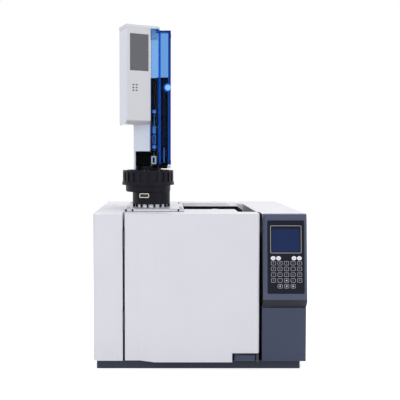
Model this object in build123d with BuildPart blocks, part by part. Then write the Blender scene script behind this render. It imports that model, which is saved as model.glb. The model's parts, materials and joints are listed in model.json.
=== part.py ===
from build123d import *
import os
from math import atan2, cos, degrees, hypot, radians, sin, sqrt

# Bench gas chromatograph with a sampler tower, in millimetres.
# Origin: on the bench under the middle of the instrument.  +X right, +Y to the back, +Z up.

os.makedirs("parts", exist_ok=True)

# ---------------------------------------------------------------- driving sizes: cabinet
cabinet_width = 620.0
cabinet_depth = 500.0
nose_out = 24.0            # how far the control bezel stands out in front
rear_reach = 24.0          # how far the exhaust duct stands out behind
sheet = 2.5                # thickness of the painted covers
foot_height = 1.0
foot_radius = 16.0
foot_inset = 38.0
plinth_height = 24.0
plinth_inset_left = 10.0
plinth_inset_right = 15.0
plinth_setback = 6.0
cover_height = 431.0
edge_radius = 14.0         # rounded front edge of the left cover
small_radius = 4.0
pin_clearance = 0.05       # between a pin and its bore
fitting_clearance = 0.3    # round anything that passes through a sheet
cut_margin = 1.0           # how far a cut runs past the face it opens
left_cover_width = 86.4
hinge_gap = 6.6            # open joint between left cover and door
column_gap = 9.5           # open joint between door and control column
column_width = 128.5       # control column
door_width = cabinet_width - left_cover_width - hinge_gap - column_gap - column_width

# ---------------------------------------------------------------- driving sizes: oven and door
door_depth = 55.0
door_bulge = 17.0
door_strip = 42.0          # flat strip beside the hinge
door_ramp = 46.0           # sloped band from the strip to the main face
door_skin = 2.5
door_floor_gap = 1.0
door_edge_radius = 8.0
latch_notch_width = 78.0
latch_notch_height = 26.4
gasket_thickness = 2.0
gasket_width = 12.0
pad_depth = 8.0            # how far the door pad enters the oven mouth
pad_clearance = 3.0
oven_side_wall = 49.5      # door's edge to the oven cavity
oven_width = door_width - 2 * oven_side_wall
oven_height = 280.0
oven_depth = 200.0
oven_floor = 40.0          # insulation under the cavity
oven_roof = 47.0           # insulation over the cavity
oven_back = 50.0           # insulation behind the cavity
liner_thickness = 2.0
shell_side_gap = 4.0

# ---------------------------------------------------------------- driving sizes: control column
bezel_height = 270.0
bezel_gap = 2.0            # shadow gap under the bezel and over it
bezel_top_out = 6.0        # how far the bezel's top edge stands out
bezel_lip_rise = 26.0      # height of the sloped underside
bezel_wall = 3.0
bezel_chamfer = 7.5
lower_cover_depth = 4.0
overlay_margin = 22.5
overlay_width = column_width - overlay_margin
overlay_height = 210.0
overlay_rise = 43.0        # overlay's lower edge above the bezel's lower edge
overlay_thickness = 1.2
overlay_radius = 3.0
overlay_shift = 1.7        # overlay's middle to the right of the column's middle
window_width = 80.0
window_height = 70.0
window_rise = 120.6        # window's lower edge above the overlay's lower edge
frame_border = 5.0
screen_clearance = 0.3
screen_drop = 0.2          # screen's face behind the overlay's
softkey_width = 13.5
softkey_height = 11.8
softkey_rise = 101.7       # push keys' centre above the overlay's lower edge
softkey_offsets = (-37.0, -21.5, 22.9, 38.4)
softkey_proud = 2.2
softkey_clearance = 0.35
softkey_lip = 1.2
softkey_side_lip = 0.6
key_pitch_x = 18.75
key_pitch_z = 16.45
key_width = 14.2
key_height = 12.4
key_emboss = 0.4
key_rise = 87.5            # top key row above the overlay's lower edge
key_shift = 1.3
key_rows = (5, 5, 5, 5, 3)

# ---------------------------------------------------------------- places worked out: cabinet
left = -cabinet_width / 2
right = cabinet_width / 2
front = -(cabinet_depth + rear_reach - nose_out) / 2
back = front + cabinet_depth
base = foot_height + plinth_height
cover_top = base + cover_height
left_cover_right = left + left_cover_width
door_left = left_cover_right + hinge_gap
door_right = door_left + door_width
column_left = door_right + column_gap
column_middle = (column_left + right) / 2
door_bottom = base + door_floor_gap
door_back = front + door_depth
oven_front = door_back + gasket_thickness
oven_middle = (door_left + door_right) / 2
cavity_left = oven_middle - oven_width / 2
cavity_right = oven_middle + oven_width / 2
cavity_bottom = base + oven_floor
cavity_top = cavity_bottom + oven_height
cavity_back = oven_front + oven_depth
shell_left = door_left + shell_side_gap
shell_right = door_right - shell_side_gap
shell_top = cavity_top + oven_roof
shell_back = cavity_back + oven_back


def block(x0, x1, y0, y1, z0, z1, mode=Mode.ADD):
    """A rectangular block between two opposite corners, in the part being built."""
    with Locations(((x0 + x1) / 2, (y0 + y1) / 2, (z0 + z1) / 2)):
        return Box(x1 - x0, y1 - y0, z1 - z0, mode=mode)


def post(x, y, z0, z1, radius, mode=Mode.ADD):
    """An upright cylinder standing from z0 to z1."""
    with Locations((x, y, z0)):
        return Cylinder(radius, z1 - z0, align=(Align.CENTER, Align.CENTER, Align.MIN), mode=mode)


def rod_back(x, z, y0, y1, radius, mode=Mode.ADD):
    """A cylinder lying along Y from y0 to y1."""
    with Locations(Plane(origin=(x, y0, z), x_dir=(1, 0, 0), z_dir=(0, 1, 0))):
        return Cylinder(radius, y1 - y0, align=(Align.CENTER, Align.CENTER, Align.MIN), mode=mode)


# ================================================================ cabinet
with BuildPart() as base_plinth:
    block(left + plinth_inset_left, right - plinth_inset_right,
          front + plinth_setback, back - plinth_setback, foot_height, base)
    fillet(base_plinth.edges().filter_by(Axis.Z), radius=small_radius)
base_plinth.part.label = "base_plinth"
export_step(base_plinth.part, "parts/base_plinth.step")

foot_x = (left + plinth_inset_left + foot_inset, right - plinth_inset_right - foot_inset)
foot_y = (front + plinth_setback + foot_inset, back - plinth_setback - foot_inset)
with BuildPart() as rubber_feet:
    for x in foot_x:
        for y in foot_y:
            post(x, y, 0, foot_height, foot_radius)
rubber_feet.part.label = "rubber_feet"
export_step(rubber_feet.part, "parts/rubber_feet.step")

# Left cover: a pressed shell with a flange beside the door, open at the bottom and towards the oven.
plug_radius = 7.0
plug_from_left = 37.0
plug_from_back = 180.0
plug_rim = 2.0             # overlap and height of the plug's rim
plug_x = left + plug_from_left
plug_y = back - plug_from_back
with BuildPart() as left_cover:
    block(left, left_cover_right, front, back - sheet, base, cover_top)
    fillet(left_cover.edges().filter_by(Axis.Z).group_by(Axis.Y)[0].sort_by(Axis.X)[0], radius=edge_radius)
    fillet(left_cover.edges().group_by(Axis.Z)[-1].group_by(Axis.X)[0], radius=small_radius)
    with BuildSketch(Plane.XY.offset(base)) as left_room:
        with Locations(((left + sheet + left_cover_right) / 2, (front + sheet + back) / 2)):
            Rectangle(left_cover_width - sheet, cabinet_depth - sheet)
        fillet(left_room.vertices().group_by(Axis.Y)[0].sort_by(Axis.X)[0], radius=edge_radius - sheet)
    extrude(amount=cover_height - sheet, mode=Mode.SUBTRACT)
    block(left_cover_right - sheet, left_cover_right, front, oven_front, base, cover_top)
    post(plug_x, plug_y, cover_top - sheet, cover_top, plug_radius - plug_rim, mode=Mode.SUBTRACT)
left_cover.part.label = "left_cover"
export_step(left_cover.part, "parts/left_cover.step")

plug_stem = plug_radius - plug_rim - fitting_clearance
with BuildPart() as port_plug:
    with BuildSketch(Plane(origin=(plug_x, plug_y, 0), x_dir=(1, 0, 0), z_dir=(0, -1, 0))):
        with BuildLine():
            Polyline((0, cover_top - 2 * sheet), (plug_stem, cover_top - 2 * sheet),
                     (plug_stem, cover_top), (plug_radius, cover_top),
                     (plug_radius - plug_rim / 2, cover_top + plug_rim), (0, cover_top + plug_rim),
                     close=True)
        make_face()
    revolve(axis=Axis((plug_x, plug_y, 0), (0, 0, 1)))
port_plug.part.label = "port_plug"
export_step(port_plug.part, "parts/port_plug.step")

# Right cover: one folded sheet that makes both sides and the top of the control column.
with BuildPart() as right_cover:
    block(column_left, right, front, back - sheet, base, cover_top)
    fillet(right_cover.edges().group_by(Axis.Z)[-1].group_by(Axis.X)[-1], radius=small_radius)
    fillet(right_cover.edges().group_by(Axis.Z)[-1].group_by(Axis.X)[0], radius=small_radius / 2)
    block(column_left + sheet, right - sheet, front, back, base, cover_top - sheet, mode=Mode.SUBTRACT)
right_cover.part.label = "right_cover"
export_step(right_cover.part, "parts/right_cover.step")

# ---------------------------------------------------------------- driving sizes: top and compartment
rail_depth = 91.0          # front top panel, from the door's back to the compartment
bay_depth = 137.0          # open injector and detector compartment
tray_sheet = 2.0
slot_from_right = 46.5     # tubing slot's left side in front of the bay, from the control column
slot_beside_bay = 36.5     # tubing slot's left side beside the bay, from the control column
slot_side = 8.5            # strip between tubing slot and control column
slot_behind_bay = 80.0     # how far the tubing slot runs behind the bay
slot_wall_depth = 40.0     # depth of the slot's right wall
rail_notch_width = 17.0
rail_notch_depth = 16.0
vent_count = 7
vent_width = 6.0
vent_pitch = 15.0
vent_margin = 26.0
vent_from_front = 24.0
rail_front = oven_front
bay_front = rail_front + rail_depth
bay_back = bay_front + bay_depth
top_left = left_cover_right
top_right = column_left
rail_right = top_right - slot_from_right
bay_right = top_right - slot_beside_bay
slot_right = top_right - slot_side

# Front top panel: an inverted tray in front of the compartment, notched for tubing at its right end.
with BuildPart() as front_top_panel:
    block(top_left, rail_right, rail_front, bay_front, shell_top, cover_top)
    block(top_left + sheet, rail_right - sheet, rail_front + sheet, bay_front - sheet,
          shell_top, cover_top - sheet, mode=Mode.SUBTRACT)
    block(rail_right - rail_notch_width, rail_right, rail_front, bay_front,
          cover_top - rail_notch_depth, cover_top, mode=Mode.SUBTRACT)
front_top_panel.part.label = "front_top_panel"
export_step(front_top_panel.part, "parts/front_top_panel.step")

# Rear top cover: an inverted tray with vent slots.  Its right leg runs forward beside the tubing slot.
slot_back = bay_back + slot_behind_bay
with BuildPart() as rear_top_cover:
    block(top_left, top_right, bay_back, back - sheet, shell_top, cover_top)
    block(top_left + sheet, top_right - sheet, bay_back + sheet, back, shell_top, cover_top - sheet,
          mode=Mode.SUBTRACT)
    block(bay_right - sheet, slot_right + sheet, bay_back, slot_back + sheet, shell_top, cover_top)
    block(bay_right, slot_right, bay_back, slot_back, shell_top, cover_top, mode=Mode.SUBTRACT)
    block(slot_right, slot_right + sheet, rail_front, bay_back, cover_top - slot_wall_depth, cover_top)
    block(slot_right, top_right, rail_front, bay_back, cover_top - sheet, cover_top)
    with BuildSketch(Plane.XY.offset(cover_top - sheet)):
        with Locations(((top_left + bay_right) / 2,
                        bay_back + vent_from_front + vent_pitch * (vent_count - 1) / 2)):
            with GridLocations(0, vent_pitch, 1, vent_count):
                SlotOverall(bay_right - top_left - 2 * vent_margin, vent_width)
    extrude(amount=sheet, mode=Mode.SUBTRACT)
rear_top_cover.part.label = "rear_top_cover"
export_step(rear_top_cover.part, "parts/rear_top_cover.step")

# ================================================================ oven
fan_x = oven_middle
fan_z = (cavity_bottom + cavity_top) / 2
shaft_radius = 4.0
shaft_bore = shaft_radius + pin_clearance
shaft_clearance = 3.0
fan_radius = 78.0
fan_depth = 14.0
fan_blades = 10
blade_thickness = 1.5
guard_standoff = 42.0      # guard's distance from the liner's back wall
guard_thickness = 1.5
guard_hole_radius = 4.0
inlet_radius = 9.0
inlet_from_left = 86.0     # injector's place, from the oven's left wall
detector_radius = 11.0
detector_from_right = 62.0
bay_fitting_back = 52.0    # both fittings stand this far behind the compartment's front wall
inlet_x = cavity_left + inlet_from_left
detector_x = cavity_right - detector_from_right
fitting_y = bay_front + bay_fitting_back
striker_height = 52.0      # middle of the striker above the cavity's insulation foot
striker_width = 3.0
striker_tall = 16.0
striker_from_right = 21.0
striker_reach = 10.0
striker_room = 6.0
striker_x = door_right - striker_from_right
striker_z = base + striker_height

with BuildPart() as oven_shell:
    block(shell_left, shell_right, oven_front, shell_back, base, shell_top)
    block(cavity_left - liner_thickness, cavity_right + liner_thickness, oven_front,
          cavity_back + liner_thickness, cavity_bottom - liner_thickness, cavity_top + liner_thickness,
          mode=Mode.SUBTRACT)
    rod_back(fan_x, fan_z, cavity_back, shell_back, shaft_radius + shaft_clearance, mode=Mode.SUBTRACT)
    post(inlet_x, fitting_y, cavity_top, shell_top, inlet_radius + fitting_clearance, mode=Mode.SUBTRACT)
    post(detector_x, fitting_y, cavity_top, shell_top, inlet_radius + fitting_clearance, mode=Mode.SUBTRACT)
    block(striker_x - striker_width / 2 - striker_room, striker_x + striker_width / 2 + striker_room,
          oven_front, oven_front + striker_reach + striker_room,
          striker_z - striker_tall / 2 - striker_room, striker_z + striker_tall / 2 + striker_room,
          mode=Mode.SUBTRACT)
oven_shell.part.label = "oven_shell"
export_step(oven_shell.part, "parts/oven_shell.step")

with BuildPart() as oven_liner:
    block(cavity_left - liner_thickness, cavity_right + liner_thickness, oven_front,
          cavity_back + liner_thickness, cavity_bottom - liner_thickness, cavity_top + liner_thickness)
    block(cavity_left, cavity_right, oven_front, cavity_back, cavity_bottom, cavity_top, mode=Mode.SUBTRACT)
    rod_back(fan_x, fan_z, cavity_back, cavity_back + liner_thickness, shaft_radius + shaft_clearance,
             mode=Mode.SUBTRACT)
    post(inlet_x, fitting_y, cavity_top, cavity_top + liner_thickness, inlet_radius + fitting_clearance,
         mode=Mode.SUBTRACT)
    post(detector_x, fitting_y, cavity_top, cavity_top + liner_thickness, inlet_radius + fitting_clearance,
         mode=Mode.SUBTRACT)
oven_liner.part.label = "oven_liner"
export_step(oven_liner.part, "parts/oven_liner.step")

# Compartment tray: black tray between the two top panels, open above, pierced for the two fittings.
with BuildPart() as compartment_tray:
    block(top_left, bay_right - sheet, bay_front, bay_back, shell_top, cover_top - tray_sheet)
    block(top_left + tray_sheet, bay_right - sheet - tray_sheet, bay_front + tray_sheet,
          bay_back - tray_sheet, shell_top + tray_sheet, cover_top, mode=Mode.SUBTRACT)
    for x in (inlet_x, detector_x):
        post(x, fitting_y, shell_top, shell_top + tray_sheet, inlet_radius + fitting_clearance,
             mode=Mode.SUBTRACT)
compartment_tray.part.label = "compartment_tray"
export_step(compartment_tray.part, "parts/compartment_tray.step")

# Heater: one open turn round the fan, held on three ceramic stems from the liner's back wall.
heater_radius = 96.0
heater_wire = 4.0
heater_standoff = 20.0
stem_radius = 3.0
heater_y = cavity_back - heater_standoff
with BuildPart() as heater_coil:
    with BuildSketch(Plane(origin=(fan_x, heater_y - heater_wire, fan_z), x_dir=(1, 0, 0), z_dir=(0, 1, 0))):
        Circle(heater_radius + heater_wire)
        Circle(heater_radius - heater_wire, mode=Mode.SUBTRACT)
    extrude(amount=2 * heater_wire)
    for turn in range(3):
        angle = radians(90 + 120 * turn)
        rod_back(fan_x + heater_radius * cos(angle), fan_z + heater_radius * sin(angle),
                 heater_y, cavity_back, stem_radius)
heater_coil.part.label = "heater_coil"
export_step(heater_coil.part, "parts/heater_coil.step")

# Guard: a perforated plate in front of fan and heater, on four feet from the liner's back wall.
guard_margin = 23.0
guard_half = oven_width / 2 - guard_margin
guard_foot = 4.0
guard_foot_inset = 10.0
guard_ring_radii = (22.0, 44.0, 64.0)
guard_ring_counts = (8, 14, 20)
guard_y = cavity_back - guard_standoff
guard_plane = Plane(origin=(fan_x, guard_y, fan_z), x_dir=(1, 0, 0), z_dir=(0, 1, 0))
with BuildPart() as fan_guard:
    with BuildSketch(guard_plane):
        RectangleRounded(2 * guard_half, 2 * guard_half, 2 * guard_foot_inset)
        for ring_radius, hole_count in zip(guard_ring_radii, guard_ring_counts):
            with PolarLocations(ring_radius, hole_count):
                Circle(guard_hole_radius, mode=Mode.SUBTRACT)
        with PolarLocations(guard_half - guard_foot_inset, 4):
            SlotOverall(guard_half, 2 * guard_hole_radius, rotation=90, mode=Mode.SUBTRACT)
    extrude(amount=guard_thickness)
    with BuildSketch(guard_plane):
        with GridLocations(2 * (guard_half - guard_foot_inset), 2 * (guard_half - guard_foot_inset), 2, 2):
            Circle(guard_foot)
    extrude(amount=guard_standoff)
fan_guard.part.label = "fan_guard"
export_step(fan_guard.part, "parts/fan_guard.step")

# Fan: radial blades on a disc, with a shaft through the oven's back wall into the motor.
motor_radius = 38.0
motor_depth = 55.0
motor_flange = 4.0
motor_rim = 10.0
motor_chamfer = 3.0
shaft_end_gap = 10.0       # shaft's end before the motor's end
bore_end_gap = 8.0
blade_overlap = 4.0
fan_gap = 6.0              # fan disc's distance from the liner's back wall
disc_thickness = 2.0
fan_back = cavity_back - fan_gap
fan_plane = Plane(origin=(fan_x, fan_back, fan_z), x_dir=(1, 0, 0), z_dir=(0, -1, 0))
with BuildPart() as oven_fan:
    with BuildSketch(fan_plane):
        Circle(fan_radius)
    extrude(amount=disc_thickness)
    with BuildSketch(fan_plane):
        Circle(3 * shaft_radius)
        with PolarLocations((fan_radius + 3 * shaft_radius) / 2, fan_blades):
            Rectangle(fan_radius - 3 * shaft_radius + blade_overlap, blade_thickness)
    extrude(amount=disc_thickness + fan_depth)
    rod_back(fan_x, fan_z, fan_back, shell_back + motor_depth - shaft_end_gap, shaft_radius)
oven_fan.part.label = "oven_fan"
export_step(oven_fan.part, "parts/oven_fan.step")

with BuildPart() as fan_motor:
    rod_back(fan_x, fan_z, shell_back, shell_back + motor_flange, motor_radius + motor_rim)
    rod_back(fan_x, fan_z, shell_back, shell_back + motor_depth, motor_radius)
    chamfer(fan_motor.edges().group_by(Axis.Y)[-1], length=motor_chamfer)
    rod_back(fan_x, fan_z, shell_back, shell_back + motor_depth - bore_end_gap, shaft_bore,
             mode=Mode.SUBTRACT)
fan_motor.part.label = "fan_motor"
export_step(fan_motor.part, "parts/fan_motor.step")

# Column hanger: a hook plate under the oven's roof with two arms that carry the coiled column.
coil_radius = 84.0
coil_band = 6.0            # radial thickness of the wound band
coil_length = 34.0
coil_setback = 70.0        # coil's front behind the oven's mouth
coil_front = oven_front + coil_setback
hanger_thickness = 3.0
coil_drop = 14.0           # coil's top under the hanger plate
coil_z = cavity_top - hanger_thickness - coil_radius - coil_band - coil_drop
with BuildPart() as capillary_column:
    with BuildSketch(Plane(origin=(fan_x, coil_front, coil_z), x_dir=(1, 0, 0), z_dir=(0, 1, 0))):
        Circle(coil_radius + coil_band / 2)
        Circle(coil_radius - coil_band / 2, mode=Mode.SUBTRACT)
    extrude(amount=coil_length)
capillary_column.part.label = "capillary_column"
export_step(capillary_column.part, "parts/capillary_column.step")

arm_width = 30.0
arm_side = arm_width / 2
arm_top = coil_z + sqrt((coil_radius - coil_band / 2) ** 2 - arm_side ** 2) - fitting_clearance
arm_end = coil_front + coil_length
strap_front = coil_front - 2 * hanger_thickness
with BuildPart() as column_hanger:
    with BuildSketch(Plane(origin=(fan_x - arm_side, 0, 0), x_dir=(0, 1, 0), z_dir=(1, 0, 0))):
        with BuildLine():
            Polyline((strap_front, cavity_top), (strap_front, arm_top - hanger_thickness),
                     (arm_end + 2 * hanger_thickness, arm_top - hanger_thickness),
                     (arm_end + 2 * hanger_thickness, arm_top + coil_band),
                     (arm_end + hanger_thickness, arm_top + coil_band),
                     (arm_end + hanger_thickness, arm_top), (strap_front + hanger_thickness, arm_top),
                     (strap_front + hanger_thickness, cavity_top - hanger_thickness),
                     (arm_end, cavity_top - hanger_thickness), (arm_end, cavity_top), close=True)
        make_face()
    extrude(amount=arm_width)
column_hanger.part.label = "column_hanger"
export_step(column_hanger.part, "parts/column_hanger.step")

# Injector and detector: turned bodies that stand on the tray and reach through the oven's roof.
tray_floor = shell_top + tray_sheet
fitting_reach = 14.0       # how far both reach into the oven
injector_flange = 20.0
injector_flange_height = 6.0
injector_body = 12.0
injector_cap = 13.0
injector_cap_height = 12.0
injector_drop = 8.0        # injector's top under the cabinet's top
septum_radius = 1.5
septum_depth = 10.0
column_nut = 6.0           # nut's size and height at both fittings' lower ends
column_nut_height = 8.0
detector_block = (52.0, 44.0)
detector_block_height = 22.0
detector_body = 15.0
detector_head_height = 14.0
detector_drop = 4.0
nut_bottom = cavity_top - fitting_reach - column_nut_height
injector_top = cover_top - injector_drop
detector_top = cover_top - detector_drop
with BuildPart() as injector:
    post(inlet_x, fitting_y, cavity_top - fitting_reach, tray_floor, inlet_radius)
    post(inlet_x, fitting_y, tray_floor, tray_floor + injector_flange_height, injector_flange)
    post(inlet_x, fitting_y, tray_floor, injector_top - injector_cap_height, injector_body)
    post(inlet_x, fitting_y, injector_top - injector_cap_height, injector_top, injector_cap)
    post(inlet_x, fitting_y, injector_top - septum_depth, injector_top, septum_radius, mode=Mode.SUBTRACT)
    with BuildSketch(Plane.XY.offset(nut_bottom)):
        with Locations((inlet_x, fitting_y)):
            RegularPolygon(column_nut, 6)
    extrude(amount=column_nut_height)
injector.part.label = "injector"
export_step(injector.part, "parts/injector.step")

with BuildPart() as detector:
    post(detector_x, fitting_y, cavity_top - fitting_reach, tray_floor, inlet_radius)
    with BuildSketch(Plane.XY.offset(tray_floor)):
        with Locations((detector_x, fitting_y)):
            RectangleRounded(*detector_block, small_radius)
    extrude(amount=detector_block_height)
    post(detector_x, fitting_y, tray_floor, detector_top - detector_head_height, detector_body)
    post(detector_x, fitting_y, tray_floor, detector_top, detector_radius)
    with BuildSketch(Plane.XY.offset(nut_bottom)):
        with Locations((detector_x, fitting_y)):
            RegularPolygon(column_nut, 6)
    extrude(amount=column_nut_height)
detector.part.label = "detector"
export_step(detector.part, "parts/detector.step")

# ================================================================ oven door
hinge_x = (left_cover_right + door_left) / 2
hinge_y = front
knuckle_radius = hinge_gap / 2 - 0.5
pin_radius = 1.4
knuckle_height = 19.0
knuckle_play = 0.3
leaf_thickness = 1.4
leaf_back = 30.0
hinge_feet = (90.0, 325.0)     # lower ends of the two hinges, above the cover's lower edge
notch_left = door_right - latch_notch_width
notch_top = door_bottom + latch_notch_height
door_top = cover_top
face_y = front - door_bulge

with BuildPart() as door_shell:
    with BuildSketch(Plane.XY.offset(door_bottom)) as door_plan:
        with BuildLine():
            Polyline((door_left, door_back), (door_left, front), (door_left + door_strip, front),
                     (door_left + door_strip + door_ramp, face_y), (door_right, face_y),
                     (door_right, door_back), close=True)
        make_face()
        fillet(door_plan.vertices().group_by(Axis.Y)[0].sort_by(Axis.X)[-1], radius=door_edge_radius)
    extrude(amount=door_top - door_bottom)
    with BuildSketch(Plane.XY.offset(door_bottom + door_skin)) as door_room:
        with BuildLine():
            Polyline((door_left + door_skin, door_back), (door_left + door_skin, front + door_skin),
                     (door_left + door_strip + door_skin / 2, front + door_skin),
                     (door_left + door_strip + door_ramp + door_skin / 2, face_y + door_skin),
                     (door_right - door_skin, face_y + door_skin), (door_right - door_skin, door_back),
                     close=True)
        make_face()
        fillet(door_room.vertices().group_by(Axis.Y)[0].sort_by(Axis.X)[-1],
               radius=door_edge_radius - door_skin)
    extrude(amount=door_top - door_bottom - 2 * door_skin, mode=Mode.SUBTRACT)
    block(notch_left - door_skin, door_right - door_skin, face_y + door_skin, door_back,
          door_bottom, notch_top + door_skin)
    block(notch_left, door_right, face_y, door_back, door_bottom, notch_top, mode=Mode.SUBTRACT)
door_shell.part.label = "door_shell"
export_step(door_shell.part, "parts/door_shell.step")

plate_thickness = 1.5
pad_left = cavity_left + pad_clearance
pad_right = cavity_right - pad_clearance
pad_bottom = cavity_bottom + pad_clearance
pad_top = cavity_top - pad_clearance
pad_back = oven_front + pad_depth
with BuildPart() as door_liner:
    block(door_left + door_skin, door_right - door_skin, door_back - plate_thickness, door_back,
          door_bottom + door_skin, door_top - door_skin)
    block(pad_left, pad_right, door_back, pad_back, pad_bottom, pad_top)
    chamfer(door_liner.edges().group_by(Axis.Y)[-1], length=plate_thickness)
    block(pad_left + plate_thickness, pad_right - plate_thickness, door_back - plate_thickness,
          pad_back - plate_thickness, pad_bottom + plate_thickness, pad_top - plate_thickness,
          mode=Mode.SUBTRACT)
    block(notch_left - door_skin, door_right, door_back - plate_thickness, door_back,
          door_bottom, notch_top + door_skin, mode=Mode.SUBTRACT)
door_liner.part.label = "door_liner"
export_step(door_liner.part, "parts/door_liner.step")

gasket_margin = 2.0
gasket_rim = liner_thickness + gasket_margin
with BuildPart() as door_gasket:
    with BuildSketch(Plane(origin=(oven_middle, door_back, fan_z), x_dir=(1, 0, 0), z_dir=(0, 1, 0))):
        RectangleRounded(oven_width + 2 * gasket_rim + 2 * gasket_width,
                         oven_height + 2 * gasket_rim + 2 * gasket_width, gasket_width)
        RectangleRounded(oven_width + 2 * gasket_rim, oven_height + 2 * gasket_rim, gasket_rim,
                         mode=Mode.SUBTRACT)
    extrude(amount=gasket_thickness)
door_gasket.part.label = "door_gasket"
export_step(door_gasket.part, "parts/door_gasket.step")

# Hinges: three knuckles each, the middle one on the door, the outer two with the pin on the oven's front.
with BuildPart() as door_hinge_leaves:
    for foot in hinge_feet:
        low = base + foot + knuckle_height
        post(hinge_x, hinge_y, low + knuckle_play, low + knuckle_height - knuckle_play, knuckle_radius)
        block(door_left - leaf_thickness, door_left, hinge_y - knuckle_radius / 2, hinge_y + leaf_back,
              low + knuckle_play, low + knuckle_height - knuckle_play)
        post(hinge_x, hinge_y, low, low + knuckle_height, pin_radius + pin_clearance, mode=Mode.SUBTRACT)
door_hinge_leaves.part.label = "door_hinge_leaves"
export_step(door_hinge_leaves.part, "parts/door_hinge_leaves.step")

leaf_left = hinge_x - knuckle_radius
leaf_foot = 20.0
with BuildPart() as frame_hinge_leaves:
    for foot in hinge_feet:
        low = base + foot
        high = low + 3 * knuckle_height
        post(hinge_x, hinge_y, low, low + knuckle_height, knuckle_radius)
        post(hinge_x, hinge_y, high - knuckle_height, high, knuckle_radius)
        block(leaf_left, leaf_left + leaf_thickness, hinge_y, oven_front, low, high)
        block(leaf_left, leaf_left + leaf_foot, oven_front - leaf_thickness, oven_front, low, high)
        post(hinge_x, hinge_y, low + knuckle_height, high - knuckle_height,
             knuckle_radius + knuckle_play, mode=Mode.SUBTRACT)
        post(hinge_x, hinge_y, low, high, pin_radius)
frame_hinge_leaves.part.label = "frame_hinge_leaves"
export_step(frame_hinge_leaves.part, "parts/frame_hinge_leaves.step")

with BuildPart() as latch_striker:
    block(striker_x - 3 * striker_width, striker_x + 3 * striker_width, door_back,
          door_back + plate_thickness, striker_z - striker_tall / 2, striker_z + striker_tall / 2)
    block(striker_x - striker_width / 2, striker_x + striker_width / 2, door_back,
          oven_front + striker_reach, striker_z - striker_tall / 2, striker_z + striker_tall / 2)
    chamfer(latch_striker.edges().group_by(Axis.Y)[-1].filter_by(Axis.Z), length=striker_width / 3)
latch_striker.part.label = "latch_striker"
export_step(latch_striker.part, "parts/latch_striker.step")

# Door release: a wide push button in the door's lower right notch, on a guided stem.
button_left_gap = 7.0
button_right_gap = 9.5
button_rise = 2.0          # button's lower edge above the plinth
button_height = 20.0
button_front = 12.0        # how far the button stands out before the cabinet's front
button_depth = 26.0
button_bevel = 3.0
button_travel = 5.0
button_stem_width = 30.0
button_stem_height = 8.0
button_clearance = 0.2
button_stop_gap = 1.0
stem_length = 34.0
button_left = notch_left + button_left_gap
button_right = door_right - button_right_gap
button_middle = (button_left + button_right) / 2
button_z = base + button_rise + button_height / 2
button_back = front - button_front + button_depth
housing_front = button_back + button_travel + button_stop_gap
housing_inset = 3.0
guard_gap = 1.5            # between the button and the guard at its right
guard_width = 7.0
guard_drop = 1.0           # guard's top under the notch's top
guard_recess = 4.0         # guard's front behind the door's face
with BuildPart() as latch_button:
    block(button_left, button_right, front - button_front, button_back,
          button_z - button_height / 2, button_z + button_height / 2)
    chamfer(latch_button.edges().group_by(Axis.Y)[0], length=button_bevel)
    fillet(latch_button.edges().filter_by(Axis.Y), radius=button_bevel / 3)
    block(button_middle - button_stem_width / 2, button_middle + button_stem_width / 2, button_back,
          button_back + stem_length, button_z - button_stem_height / 2, button_z + button_stem_height / 2)
latch_button.part.label = "latch_button"
export_step(latch_button.part, "parts/latch_button.step")

with BuildPart() as latch_housing:
    block(button_left + housing_inset, button_right - housing_inset, housing_front, oven_front,
          base, button_z + button_height / 2 - housing_inset / 3)
    block(button_middle, button_right + guard_gap + guard_width, housing_front, oven_front,
          base, button_z - button_stem_height)
    block(button_right + guard_gap, button_right + guard_gap + guard_width, face_y + guard_recess,
          oven_front, base, notch_top - guard_drop)
    block(button_middle - button_stem_width / 2 - button_clearance,
          button_middle + button_stem_width / 2 + button_clearance, housing_front, oven_front,
          button_z - button_stem_height / 2 - button_clearance,
          button_z + button_stem_height / 2 + button_clearance, mode=Mode.SUBTRACT)
latch_housing.part.label = "latch_housing"
export_step(latch_housing.part, "parts/latch_housing.step")

# ================================================================ control column
bezel_top = cover_top - bezel_gap
bezel_bottom = bezel_top - bezel_height
lip_z = bezel_bottom + bezel_lip_rise
lean = atan2(nose_out - bezel_top_out, bezel_top - lip_z)
panel_middle = column_middle + overlay_shift
side_plane = Plane(origin=(column_left, 0, 0), x_dir=(0, 1, 0), z_dir=(1, 0, 0))


def panel_point(rise):
    """A point on the bezel's face, on its middle line, this far above the bezel's lower edge."""
    up = rise - bezel_lip_rise
    return (panel_middle, front - nose_out + up * sin(lean), lip_z + up * cos(lean))


panel_plane = Plane(origin=panel_point(overlay_rise), x_dir=(1, 0, 0), z_dir=(0, -cos(lean), sin(lean)))

with BuildPart() as control_bezel:
    with BuildSketch(side_plane):
        with BuildLine():
            Polyline((front, bezel_top), (front - bezel_top_out, bezel_top), (front - nose_out, lip_z),
                     (front - bezel_wall, bezel_bottom), (front, bezel_bottom), close=True)
        make_face()
    extrude(amount=column_width)
    face_sides = control_bezel.faces().sort_by(Axis.Y)[0].edges().sort_by(Axis.X)
    chamfer([face_sides[0], face_sides[-1]], length=bezel_chamfer)
    with BuildSketch(side_plane.offset(bezel_chamfer)):
        with BuildLine():
            Polyline((front, bezel_top), (front - bezel_top_out, bezel_top), (front - nose_out, lip_z),
                     (front - bezel_wall, bezel_bottom), (front, bezel_bottom), close=True)
        make_face()
        offset(amount=-bezel_wall, kind=Kind.INTERSECTION)
    extrude(amount=column_width - 2 * bezel_chamfer, mode=Mode.SUBTRACT)
    block(column_left + bezel_chamfer, right - bezel_chamfer, front - bezel_wall - cut_margin, front,
          bezel_bottom + 2 * bezel_wall, bezel_top - bezel_wall, mode=Mode.SUBTRACT)
    with BuildSketch(panel_plane):
        for x in softkey_offsets:
            with Locations((x, softkey_rise)):
                Ellipse(softkey_width / 2 + softkey_clearance, softkey_height / 2 + softkey_clearance)
    extrude(amount=-2 * bezel_wall, mode=Mode.SUBTRACT)
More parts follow.
